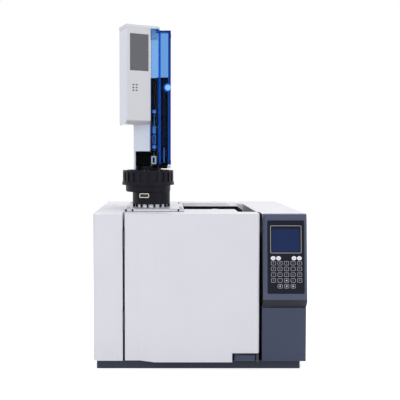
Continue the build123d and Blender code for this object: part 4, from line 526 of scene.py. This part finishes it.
finish("frame_black", "07070b", 0.6, grain=1200, bump=0.15, vary=0.06, shine=0.04)
finish("guide_plastic", "93a3ba", 0.35, grain=900, bump=0.05, vary=0.03)
finish("notch_pale", "8ccaff", 0.2, grain=900, bump=0.02, vary=0.05)
finish("notch_deep", "0a4cb4", 0.15, grain=900, bump=0.02, vary=0.1, shine=0.3)
# Painted light: the white of the ring between the pedestal's feet.
finish("light_ring_white", "f4f4f8", 0.5, grain=900, bump=0.05, vary=0.01)
finish("septum_grey", "3a3a42", 0.6, grain=900, bump=0.15, vary=0.08)
print(len(finishes), "finishes so far")

# %% [markdown]
# ## Screens, keys, glass and print
# The screens and the overlay are smooth films, so they have next to no bump. Vials and syringe are clear
# glass. Print lies flat on its ground and has no rounded edge.

# %% Screens, keys, glass and print
finish("overlay_navy", "121424", 0.38, grain=2200, bump=0.06, vary=0.03, shine=0.15)
finish("lcd_blue", "0a2550", 0.15, grain=3000, bump=0.0, vary=0.05, shine=0.2)
finish("display_grey", "626268", 0.25, grain=3000, bump=0.0, vary=0.03, shine=0.2)
finish("key_white", "eeeef2", 0.35, grain=1500, bump=0.05, vary=0.02)
for name, colour in (("print_grey", "8e8a92"), ("key_print", "aaa8b0"), ("print_light", "dcdce4")):
    finish(name, colour, 0.5, grain=1500, bump=0.02, vary=0.03, edge=0.0)
# The same dark serves the printed scale lines and the painted shade of the sounder's slots.
finish("print_and_shade_dark", "0c0c10", 0.6, grain=1500, bump=0.02, vary=0.05, edge=0.0)
clear("vial_glass", "e8f0f2", 0.02, 1.5)
clear("syringe_glass", "e4eef2", 0.02, 1.5)
print(len(finishes), "finishes in all")

# %% [markdown]
# ## Dressing the solid pieces
# Every solid piece names the kind of surface that it has, and takes the finish of that name. They could be
# given one by one, but the list in the frame's record already says it. Only the pieces with shades of their
# own are named here.

# %% Give every solid piece its finish
finish_of = {entry["node"]: entry["material_slot"] for entry in frame["record"]["subparts"]}
own_finish = {"lower_cover": "column_slate", "latch_button": "column_slate", "latch_housing": "guard_grey",
              "rear_top_cover": "rear_white", "right_cover": "right_white", "mounting_plate": "plate_with_painted_shade",
              "tower_frame": "frame_black", "guide_rods": "rod_steel", "top_cap": "cap_white",
              "display_housing": "housing_white", "lower_housing": "lower_white"}
finish_of.update(own_finish)
for name, node in nodes.items():
    material = finishes[finish_of[name]]
    if not node.material_slots:
        node.data.materials.append(material)
    for slot in node.material_slots:
        slot.material = material
# Clear acrylic hardly darkens what stands behind it, so the cover casts no shadow.
nodes["sampler_cover"].visible_shadow = False
print("finished", len(finish_of), "pieces,", len(own_finish), "with shades of their own")

# %% [markdown]
# ## Helpers for modelling
# Every new piece starts as a primitive of its own size, is shaped in edit mode, and is only then put in its
# place. The same shapes could be typed in as lists of corners, but then nobody could see how they came
# about. Edit-mode tools act on what is selected, so the helpers below select faces or edges by where they
# are or which way they look, as one would by clicking.

# %% Helpers that begin a piece and pick parts of it
mm = 0.001


def begin(name, centre, size, sides=0):
    """A box, or a cylinder with that many sides, of this size in millimetres, open for editing."""
    bpy.ops.object.select_all(action="DESELECT")
    if sides:
        bpy.ops.mesh.primitive_cylinder_add(vertices=sides, radius=0.5, depth=1.0)
    else:
        bpy.ops.mesh.primitive_cube_add(size=1.0)
    piece = bpy.context.object
    piece.name = name
    piece.data.name = name
    piece.location = [value * mm for value in centre]
    piece.scale = [value * mm for value in size]
    bpy.ops.object.transform_apply(location=True, rotation=True, scale=True)
    bpy.ops.object.mode_set(mode="EDIT")
    bpy.ops.mesh.select_mode(type="FACE")
    bpy.ops.mesh.select_all(action="DESELECT")
    return piece


def pick_faces(piece, wanted):
    """Selects only the faces whose middle and normal pass."""
    bpy.ops.mesh.select_mode(type="FACE")
    bpy.ops.mesh.select_all(action="DESELECT")
    mesh = bmesh.from_edit_mesh(piece.data)
    for face in mesh.faces:
        face.select_set(bool(wanted(face.calc_center_median(), face.normal)))
    bmesh.update_edit_mesh(piece.data)


def pick_edges(piece, wanted):
    """Selects only the edges whose middle and direction pass."""
    bpy.ops.mesh.select_mode(type="EDGE")
    bpy.ops.mesh.select_all(action="DESELECT")
    mesh = bmesh.from_edit_mesh(piece.data)
    for edge in mesh.edges:
        first, second = (vert.co for vert in edge.verts)
        edge.select_set(bool(wanted((first + second) / 2, (second - first).normalized())))
    bmesh.update_edit_mesh(piece.data)


def front(middle, normal):
    """Faces that look along the piece's own Z."""
    return normal.z > 0.99


def upright(middle, direction):
    """Edges that run along the piece's own Z."""
    return abs(direction.z) > 0.9


print("picking helpers ready")


# %% Helpers that round, soften and open
def round_upright(piece, radius, segments=4):
    """Rounds the edges that run along the piece's own Z."""
    pick_edges(piece, upright)
    bpy.ops.mesh.bevel(offset=radius * mm, segments=segments)


def soften_front(piece, radius, segments=2):
    """Rounds the rim of the front face."""
    pick_faces(piece, front)
    bpy.ops.mesh.region_to_loop()
    bpy.ops.mesh.bevel(offset=radius * mm, segments=segments)


def open_middle(piece, band):
    """Insets the front and back faces and joins the two insets, which leaves a ring."""
    pick_faces(piece, lambda middle, normal: abs(normal.z) > 0.9)
    bpy.ops.mesh.inset(thickness=band * mm, use_individual=True)
    bpy.ops.mesh.bridge_edge_loops()


print("shaping helpers ready")


# %% Helpers that finish, copy and place
def settle(piece, finish_name, body, place=None):
    """Ends the editing, puts the piece in its place and gives it its finish and body."""
    bpy.ops.mesh.select_all(action="SELECT")
    bpy.ops.mesh.normals_make_consistent(inside=False)
    bpy.ops.object.mode_set(mode="OBJECT")
    if place is not None:
        piece.matrix_world = place
        bpy.ops.object.transform_apply(location=True, rotation=True, scale=True)
    piece.data.materials.clear()
    piece.data.materials.append(finishes[finish_name])
    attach(piece, body)
    return piece


def another(piece, name, move, body):
    """A copy with its own mesh, moved by a matrix."""
    twin = piece.copy()
    twin.data = piece.data.copy()
    twin.name = name
    twin.data.name = name
    bpy.context.collection.objects.link(twin)
    twin.data.transform(move)
    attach(twin, body)
    return twin


def copies(piece, stem, shifts, body):
    """Copies numbered from two, each shifted by its own distances in metres."""
    for number, shift in enumerate(shifts, start=2):
        another(piece, f"{stem}_{number}", Matrix.Translation(shift), body)


def facing(origin, along, up):
    """The matrix that carries a flat piece's X along one direction, its Y along another, its Z outwards."""
    place = Matrix((along, up, along.cross(up))).transposed().to_4x4()
    place.translation = origin
    return place


rightwards, rearwards, upwards = Vector((1.0, 0.0, 0.0)), Vector((0.0, 1.0, 0.0)), Vector((0.0, 0.0, 1.0))


def facing_front(x, y, z):
    """The matrix of a piece that looks to the front from that place."""
    return facing(Vector((x, y, z)), rightwards, upwards)


print("placing helpers ready")


# %% A helper for letters
def letters(name, text, size, depth, centre):
    """Letters of that height and depth in millimetres, made a mesh before they are placed."""
    bpy.ops.object.select_all(action="DESELECT")
    bpy.ops.object.text_add()
    words = bpy.context.object
    words.name = name
    words.data.body = text
    words.data.size = size * mm
    words.data.extrude = depth * mm / 2
    words.data.resolution_u = 2
    words.data.align_x = "CENTER"
    words.data.align_y = "CENTER"
    bpy.ops.object.convert(target="MESH")
    words = bpy.context.object
    words.data.name = name
    words.location = [value * mm for value in centre]
    bpy.ops.object.transform_apply(location=True, rotation=True, scale=True)
    bpy.ops.object.mode_set(mode="EDIT")
    bpy.ops.mesh.remove_doubles(threshold=0.01 * mm)
    return words


print("letters ready")

# %% [markdown]
# ## The panel's own plane
# The control panel leans back by a few degrees. Its pieces are modelled flat, with X to the right, Y up the
# panel and Z out of it, and this one matrix carries them onto it. Each could be turned by hand, but flat
# pieces are easier to shape and to line up. The origin is the middle of the keypad overlay's lower edge, on
# the bezel's face.

# %% The panel's matrix
overlay_low, overlay_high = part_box("keypad_overlay")
lean_back, lean_height = 18.0, 244.0
panel_lean = math.atan2(lean_back, lean_height)
overlay_face, embossed_face = 1.2, 1.6     # how far out they stand, in millimetres
panel_up = Vector((0.0, math.sin(panel_lean), math.cos(panel_lean)))
panel_middle = (overlay_low[0] + overlay_high[0]) / 2
panel_place = facing(Vector((panel_middle, overlay_low[1] + overlay_face * mm * math.cos(panel_lean),
                             overlay_low[2])), rightwards, panel_up)
print("panel leans", round(math.degrees(panel_lean), 2), "degrees")

# %% [markdown]
# ## The line round the screen
# A thin light line is printed on the raised rim round the screen, and a dark mask hides the screen's upper
# edge. Both could be painted by the material, but real edges stay crisp from near by. The line is a flat box
# with rounded corners whose middle is opened by an inset and a bridge; the mask is a thin box with its front
# rim softened.

# %% The screen's line and mask
screen_rise, mask_rise = 155.6, 187.9
screen_line = begin("screen_line", (0, screen_rise, embossed_face + 0.1), (90, 80, 0.3))
round_upright(screen_line, 3.0)
open_middle(screen_line, 2.0)
settle(screen_line, "print_grey", "cabinet", panel_place)
screen_mask = begin("screen_mask", (0, mask_rise, 1.1), (79.6, 5.2, 0.4))
soften_front(screen_mask, 0.15)
settle(screen_mask, "overlay_navy", "cabinet", panel_place)
print("screen line has", len(screen_line.data.polygons), "faces")

# %% [markdown]
# ## Key outlines
# Each membrane key shows as a light line round a dark field, printed on its raised pad. One outline is
# modelled as a ring with rounded corners and copied to the other keys. An Array modifier could repeat it in
# rows, but the last row has only three keys, so the copies are set out from a list.

# %% Key outlines
key_pitch_x, key_pitch_y = 18.75, 16.45
key_shift, key_top_rise = 1.3, 87.5
key_rows = (("7", "8", "9", "+", "="), ("4", "5", "6", "-", "="), ("1", "2", "3", "%", "="),
            ("0", ".", "up", "/", "="), (None, "left", "down", "right", None))
key_places = [(column, row, key_shift + (column - 2) * key_pitch_x, key_top_rise - row * key_pitch_y, legend)
              for row, legends in enumerate(key_rows) for column, legend in enumerate(legends) if legend]
first_x, first_rise = key_places[0][2], key_places[0][3]
key_line = begin("key_line_1", (first_x, first_rise, embossed_face + 0.1), (13.6, 11.8, 0.3))
round_upright(key_line, 2.4)
open_middle(key_line, 1.0)
settle(key_line, "key_print", "cabinet", panel_place)
to_panel = panel_place.to_3x3()
key_shifts = [to_panel @ Vector(((x - first_x) * mm, (rise - first_rise) * mm, 0.0))
              for column, row, x, rise, legend in key_places[1:]]
copies(key_line, "key_line", key_shifts, "cabinet")
print(len(key_places), "keys have their outline")

# %% [markdown]
# ## Key legends
# The digits and signs are plain text turned into a mesh with a little depth, which is quicker than drawing
# each one. The four arrows start as a three-sided cylinder whose corners are rounded, turned to point the
# right way.

# %% Key legends
legend_size, wide_sign_size = 6.5, 9.0
arrow_turns = {"up": 0.0, "left": 90.0, "down": 180.0, "right": 270.0}
for column, row, x, rise, legend in key_places:
    if legend in arrow_turns:
        arrow = begin(f"key_arrow_{legend}", (0, 0, 0), (6.2, 6.2, 0.4), 3)
        round_upright(arrow, 0.5, 2)
        turned = (Matrix.Translation(Vector((x * mm, rise * mm, (embossed_face + 0.1) * mm)))
                  @ Matrix.Rotation(math.radians(arrow_turns[legend]), 4, "Z"))
        settle(arrow, "print_light", "cabinet", panel_place @ turned)
    else:
        size = wide_sign_size if legend == "=" else legend_size
        digit = letters(f"key_legend_{row}_{column}", legend, size, 0.3, (x, rise, embossed_face + 0.1))
        settle(digit, "key_print", "cabinet", panel_place)
print(len(arrow_turns), "arrows and", len(key_places) - len(arrow_turns), "digits and signs")

# %% [markdown]
# ## Marks on the four white keys
# Each white key carries a short grey dash. It could be a mask in the key's finish, but as a small bar with
# rounded ends it catches the light. It rides on its key, so that it goes in when the key is pressed.

# %% White keys' dashes
softkey_offsets = (-37.0, -21.5, 22.9, 38.4)
softkey_rise, softkey_face = 101.7, 3.4
for number, offset in enumerate(softkey_offsets, start=1):
    dash = begin(f"softkey_dash_{number}", (offset, softkey_rise, softkey_face + 0.05), (5.0, 1.5, 0.3))
    round_upright(dash, 0.6, 3)
    settle(dash, "print_grey", f"key_{number}", panel_place)
print("dashes ride on key_1 to key_4")

# %% [markdown]
# ## The wide connector
# The largest of the three ports is a data connector: a thin metal shell with rounded corners, a black
# insert in it, and two rows of brass contacts. One block with a bump pattern would do from afar, but the
# shell's shadow and the shining contacts need real depth. The shell is a ring standing a little proud of the
# pedestal, the insert a block with an inset, sunken middle, and the contacts are copies of one domed pin.

# %% The data connector
port_x, port_z = -0.1635, 0.501
port_place = facing_front(port_x, port_low[1], port_z)
port_shell = begin("port_shell", (0, 0, 0.9), (29.5, 13.6, 3.0))
round_upright(port_shell, 4.2)
open_middle(port_shell, 2.0)
settle(port_shell, "bright_metal", "cabinet", port_place)
print("port shell", len(port_shell.data.polygons), "faces")

# %% Its insert and contacts
port_insert = begin("port_insert", (0, 0, 0.2), (25.8, 9.9, 1.0))
round_upright(port_insert, 3.0)
pick_faces(port_insert, front)
bpy.ops.mesh.inset(thickness=1.2 * mm)
bpy.ops.transform.translate(value=(0, 0, -0.4 * mm))
settle(port_insert, "dark_plastic", "cabinet", port_place)
port_pin = begin("port_pin_1", (-9.6, 1.9, 0.8), (1.3, 1.3, 1.2), 10)
soften_front(port_pin, 0.4)
settle(port_pin, "brass", "cabinet", port_place)
pin_pitch, row_shift, row_drop = 2.75, 1.37, -3.8
pins = [(column * pin_pitch, 0.0) for column in range(1, 8)]
pins += [(column * pin_pitch + row_shift, row_drop) for column in range(7)]
copies(port_pin, "port_pin", [(x * mm, 0.0, rise * mm) for x, rise in pins], "cabinet")
print(len(pins) + 1, "contacts")

# %% [markdown]
# ## A light ring inside the pedestal's feet
# The dark pedestal stands on short feet, and between them the bright plate and background show through. A
# white ring that fills the pedestal's foot stands in for that light: painted light. A disc would look the
# same from the front, but a ring leaves the pedestal open. It is a cylinder whose two end faces are inset
# and joined into a hole.

# %% The painted light ring
pedestal_low, pedestal_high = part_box("pedestal")
pedestal_middle = ((pedestal_low[0] + pedestal_high[0]) / 2, (pedestal_low[1] + pedestal_high[1]) / 2)
light_ring = begin("pedestal_light_ring", (0, 0, 4.5), (105.6, 105.6, 8.98), 64)
open_middle(light_ring, 6.0)
settle(light_ring, "light_ring_white", "cabinet",
       Matrix.Translation((pedestal_middle[0], pedestal_middle[1], pedestal_low[2])))
print("light_ring", len(light_ring.data.polygons), "faces")

# %% [markdown]
# ## Screws in the plate's front edge
# Three small dark screws hold the sampler's plate. Each is a cylinder whose head is rounded, with a socket
# for its key: an inset of the head pushed inwards. A boolean could cut the socket, but an inset keeps the
# mesh clean and its edges ready to catch the light.

# %% The plate's front screws
edge_screw_spots = (-216.6, -196.9, -60.0)
edge_place = facing_front(0.0, plate_low[1], plate_low[2] + 0.0045)


def socket_screw(name, centre, width, height, finish_name, body, place):
    """A round-headed screw with a sunken socket."""
    screw = begin(name, centre, (width, width, height), 24)
    soften_front(screw, height * 0.25)
    pick_faces(screw, front)
    bpy.ops.mesh.inset(thickness=width * 0.18 * mm)
    bpy.ops.mesh.extrude_region_move(TRANSFORM_OT_translate={"value": (0, 0, -height * 0.5 * mm)})
    return settle(screw, finish_name, body, place)


first_screw = socket_screw("edge_screw_1", (edge_screw_spots[0], 0, 0.4), 6.4, 2.0, "dark_plastic",
                           "cabinet", edge_place)
edge_shifts = [((x - edge_screw_spots[0]) * mm, 0.0, 0.0) for x in edge_screw_spots[1:]]
copies(first_screw, "edge_screw", edge_shifts, "cabinet")
print(len(edge_screw_spots), "screws in the plate's edge")

# %% [markdown]
# ## Slots under the display
# Six small slots let the sampler's sounder be heard. Holes could be cut in the housing, but the slots are
# too small for their depth to show, so each is a dark bar on the face: painted shade for the dark inside of a
# hole. They lie on the display's turned face: one slot is a thin bar with rounded ends, and the others are
# its copies, set out along the face's own directions.

# %% The sounder's slots
glass_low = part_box("display_glass")[0]
glass_wall = 0.0015
face_turn = math.radians(24.6)
face_along = Vector((math.cos(face_turn), math.sin(face_turn), 0.0))
face_corner = Vector((glass_low[0] + glass_wall * math.sin(face_turn), glass_low[1], glass_low[2]))
face_place = facing(face_corner, face_along, upwards)
slot_columns, slot_rises = (10.3, 20.6), (-42.6, -51.2, -59.2)
slot_bar = begin("sounder_slot_1", (slot_columns[0], slot_rises[0], 0.2), (5.8, 3.2, 0.6))
round_upright(slot_bar, 1.2, 4)
settle(slot_bar, "print_and_shade_dark", "cabinet", face_place)
slot_shifts = [face_along * (across_face - slot_columns[0]) * mm + upwards * (rise - slot_rises[0]) * mm
               for across_face in slot_columns for rise in slot_rises]
copies(slot_bar, "sounder_slot", slot_shifts[1:], "cabinet")
print(len(slot_shifts), "slots")

# %% [markdown]
# ## Vial caps
# Each glass vial is closed by a crimped metal cap with a soft disc in its middle, which the needle pierces.
# One cap is modelled: a cylinder with a rounded rim, and opened on top by an inset pushed down. It is put
# over the well next to the needle's and copied round the carousel; the well under the needle and the one
# across from it are empty. Spin could make the copies too, but it would leave them one mesh.

# %% Where the wells are
carousel_low, carousel_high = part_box("carousel")
carousel_middle = (Vector(carousel_low) + Vector(carousel_high)) / 2
carousel_middle.z = 0.0
needle_spot = Vector((-0.133, -0.136, 0.0))
well_count = 22
vial_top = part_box("vials")[1][2]


def round_carousel(steps):
    """The turn about the carousel's axis that goes on by that many wells."""
    return (Matrix.Translation(carousel_middle) @ Matrix.Rotation(math.tau * steps / well_count, 4, "Z")
            @ Matrix.Translation(-carousel_middle))


print(well_count, "wells,", round((needle_spot - carousel_middle).length / mm, 1), "mm from the axis")

# %% Vial caps and their discs
over_needle = Matrix.Translation((needle_spot.x, needle_spot.y, vial_top))
first_place = round_carousel(1) @ over_needle
cap = begin("vial_cap_1", (0, 0, -2.25), (11.6, 11.6, 4.3), 28)
soften_front(cap, 0.5)
pick_faces(cap, front)
bpy.ops.mesh.inset(thickness=1.8 * mm)
bpy.ops.mesh.extrude_region_move(TRANSFORM_OT_translate={"value": (0, 0, -0.7 * mm)})
settle(cap, "tower_black", "carousel", first_place)
disc = begin("vial_disc_1", (0, 0, -0.6), (7.6, 7.6, 0.5), 20)
soften_front(disc, 0.15)
settle(disc, "septum_grey", "carousel", first_place)
filled = [steps for steps in range(2, well_count) if steps != well_count // 2]
for number, steps in enumerate(filled, start=2):
    move = round_carousel(steps - 1)
    another(cap, f"vial_cap_{number}", move, "carousel")
    another(disc, f"vial_disc_{number}", move, "carousel")
print(len(filled) + 1, "caps")

# %% [markdown]
# ## The needle guide
# In front of the needle a small light frame stands on the tower's bracket and steadies it as it goes down.
# It is a box with rounded corners, opened by an inset and a bridge. A curve with a bevel could give the same
# frame, but its corners would be rounder. A dark foot under the frame's right side closes the gap down to
# the carousel: a box whose lower edges are bevelled.

# %% The needle guide
bracket_front = -0.144
guide_x, guide_z = -0.1342, 0.610
guide_depth = 2.8
guide_place = facing_front(guide_x, bracket_front - guide_depth / 2 * mm, guide_z)
needle_guide = begin("needle_guide", (0, 0, 0), (15.5, 25.0, guide_depth))
round_upright(needle_guide, 2.0)
open_middle(needle_guide, 4.4)
soften_front(needle_guide, 0.3, 1)
settle(needle_guide, "guide_plastic", "cabinet", guide_place)
print("needle guide", len(needle_guide.data.polygons), "faces")

# %% The frame's foot
foot_middle_z, foot_height = 588.6, 8.9
frame_foot = begin("frame_foot", (-105.5, -126.0, foot_middle_z), (25.0, 28.0, foot_height))
pick_edges(frame_foot, lambda middle, direction: middle.z < (foot_middle_z - 0.4 * foot_height) * mm)
bpy.ops.mesh.bevel(offset=1.2 * mm, segments=2)
settle(frame_foot, "frame_black", "cabinet")
print("frame's foot", len(frame_foot.data.polygons), "faces")

# %% [markdown]
# ## The finger notch
# The cover's edge has a round finger notch. A deep blue rim lines it and a pale dished button of the same
# acrylic fills it. The rim is a cylinder opened into a ring, and cut off level with the wing's edge by
# bisect, which is simpler than a boolean. The button's face is inset twice and sunk a little each time.

# %% The notch's rim and button
rim_x, rim_y = -0.091, -0.12275
rim_cut = 0.0091     # from the rim's middle to the wing's edge
notch_place = facing_front(rim_x, rim_y, notch_z)
rim = begin("notch_rim", (0, 0, 0), (25.0, 25.0, 3.0), 48)
open_middle(rim, 3.6)
bpy.ops.mesh.select_all(action="SELECT")
bpy.ops.mesh.bisect(plane_co=(rim_cut, 0, 0), plane_no=(1, 0, 0), clear_outer=True, use_fill=True)
settle(rim, "notch_deep", "tower_cover", notch_place)
button = begin("notch_button", (0, 0, 0), (18.0, 18.0, 2.4), 48)
for sink in (0.3, 0.4):
    pick_faces(button, lambda middle, normal: normal.z > 0.9 and middle.xy.length < 0.001)
    bpy.ops.mesh.inset(thickness=2.0 * mm)
    bpy.ops.transform.translate(value=(0, 0, -sink * mm))
settle(button, "notch_pale", "tower_cover", notch_place)
print("notch rim", len(rim.data.polygons), "faces, button", len(button.data.polygons))

# %% [markdown]
# ## The syringe's scale, clamp and knob
# The barrel carries short graduation lines. A light plate clamps its upper end, a light sleeve shows round
# its middle and a knurled knob closes the lower clamp. A line is a thin ring round the barrel; the knob is a
# cylinder whose side faces are inset one by one, which gives it its grip. The grip could be a bump pattern,
# but its outline would stay smooth. All ride with the syringe, and the upper knob with the plunger.

# %% The barrel's scale
first_line_z, line_step, line_count = 0.660, 0.004, 10
barrel_low, barrel_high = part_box("syringe")
syringe_middle = (Vector(barrel_low) + Vector(barrel_high)) / 2
scale_line = begin("scale_line_1", (0, 0, 0), (8.7, 8.7, 0.5), 32)
open_middle(scale_line, 0.25)
settle(scale_line, "print_and_shade_dark", "syringe_slide",
       Matrix.Translation((syringe_middle.x, syringe_middle.y, first_line_z)))
line_shifts = [(0.0, 0.0, step * line_step) for step in range(1, line_count)]
copies(scale_line, "scale_line", line_shifts, "syringe_slide")
print(line_count, "scale lines")

# %% The clamp, the sleeve and the knobs
carriage_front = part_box("syringe_carriage")[0][1]
clamp_z, sleeve_z = 0.7025, 0.6735
knob_spots = (("syringe_knob", "syringe_slide", 0.6505), ("plunger_knob", "plunger_slide", 0.7575))


def on_syringe(z):
    """The place on the clamps' front, on the syringe's axis, at that height."""
    return facing_front(syringe_middle.x, carriage_front, z)


clamp = begin("clamp_plate", (0, 0, 0.7), (9.5, 22.0, 1.5))
round_upright(clamp, 2.0)
soften_front(clamp, 0.3)
settle(clamp, "clamp_plate", "syringe_slide", on_syringe(clamp_z))
sleeve = begin("barrel_sleeve", (0, 0, 0.6), (10.4, 26.0, 1.3))
round_upright(sleeve, 3.0)
open_middle(sleeve, 1.8)
settle(sleeve, "guide_plastic", "syringe_slide", on_syringe(sleeve_z))
for name, body, z in knob_spots:
    knob = begin(name, (0, 0, 0.9), (12.0, 12.0, 1.8), 24)
    pick_faces(knob, lambda middle, normal: abs(normal.z) < 0.1)
    bpy.ops.mesh.inset(thickness=0.25 * mm, depth=-0.25 * mm, use_individual=True)
    pick_faces(knob, front)
    bpy.ops.mesh.inset(thickness=1.4 * mm)
    bpy.ops.transform.translate(value=(0, 0, -0.5 * mm))
    settle(knob, "clamp_plate", body, on_syringe(z))
print("clamp", len(clamp.data.polygons), "faces, sleeve", len(sleeve.data.polygons), "faces")

# %% [markdown]
# ## The back and the sides
# Cover screws and a bare metal plate finish the sides that one sees when the instrument is turned round. The
# screws could be new ones, but the helper that made the plate's screws serves here too, sunk into the side
# covers and proud of the back. The plate is a box with rounded corners and a softened rim.

# %% Screws of the back panel
back_low, back_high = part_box("back_panel")
back_place = facing(Vector((0.0, back_high[1], 0.0)), -rightwards, upwards)
edge_x, low_z, middle_z, high_z = 0.298, 0.040, 0.24, 0.442
screw_spots = [(x, z) for x in (-edge_x, 0.0, edge_x) for z in (low_z, high_z)]
screw_spots += [(-edge_x, middle_z), (edge_x, middle_z)]
first_back = socket_screw("back_screw_1", (-screw_spots[0][0] / mm, screw_spots[0][1] / mm, 0.8), 7.0, 2.2,
                          "plain_steel", "cabinet", back_place)
back_shifts = [(x - screw_spots[0][0], 0.0, z - screw_spots[0][1]) for x, z in screw_spots[1:]]
copies(first_back, "back_screw", back_shifts, "cabinet")
print(len(screw_spots), "screws in the back")

# %% Screws of the side covers
side_rows = (-0.18, 0.04, 0.22)     # from front to rear
for side, along, face_x in (("left", -rearwards, back_low[0]), ("right", rearwards, back_high[0])):
    place = facing(Vector((face_x, 0.0, 0.0)), along, upwards)
    first_side = socket_screw(f"{side}_screw_1", (along.y * side_rows[0] / mm, low_z / mm, -0.5), 7.0, 0.98,
                              "plain_steel", "cabinet", place)
    copies(first_side, f"{side}_screw", [(0.0, y - side_rows[0], 0.0) for y in side_rows[1:]], "cabinet")
print(2 * len(side_rows), "screws in the sides")

# %% The bare plate
rating = begin("bare_plate", (-185.0, 110.0, 0.3), (70.0, 40.0, 0.8))
round_upright(rating, 3.0)
soften_front(rating, 0.25)
settle(rating, "plate_silver", "cabinet", back_place)
print("bare plate", len(rating.data.polygons), "faces")
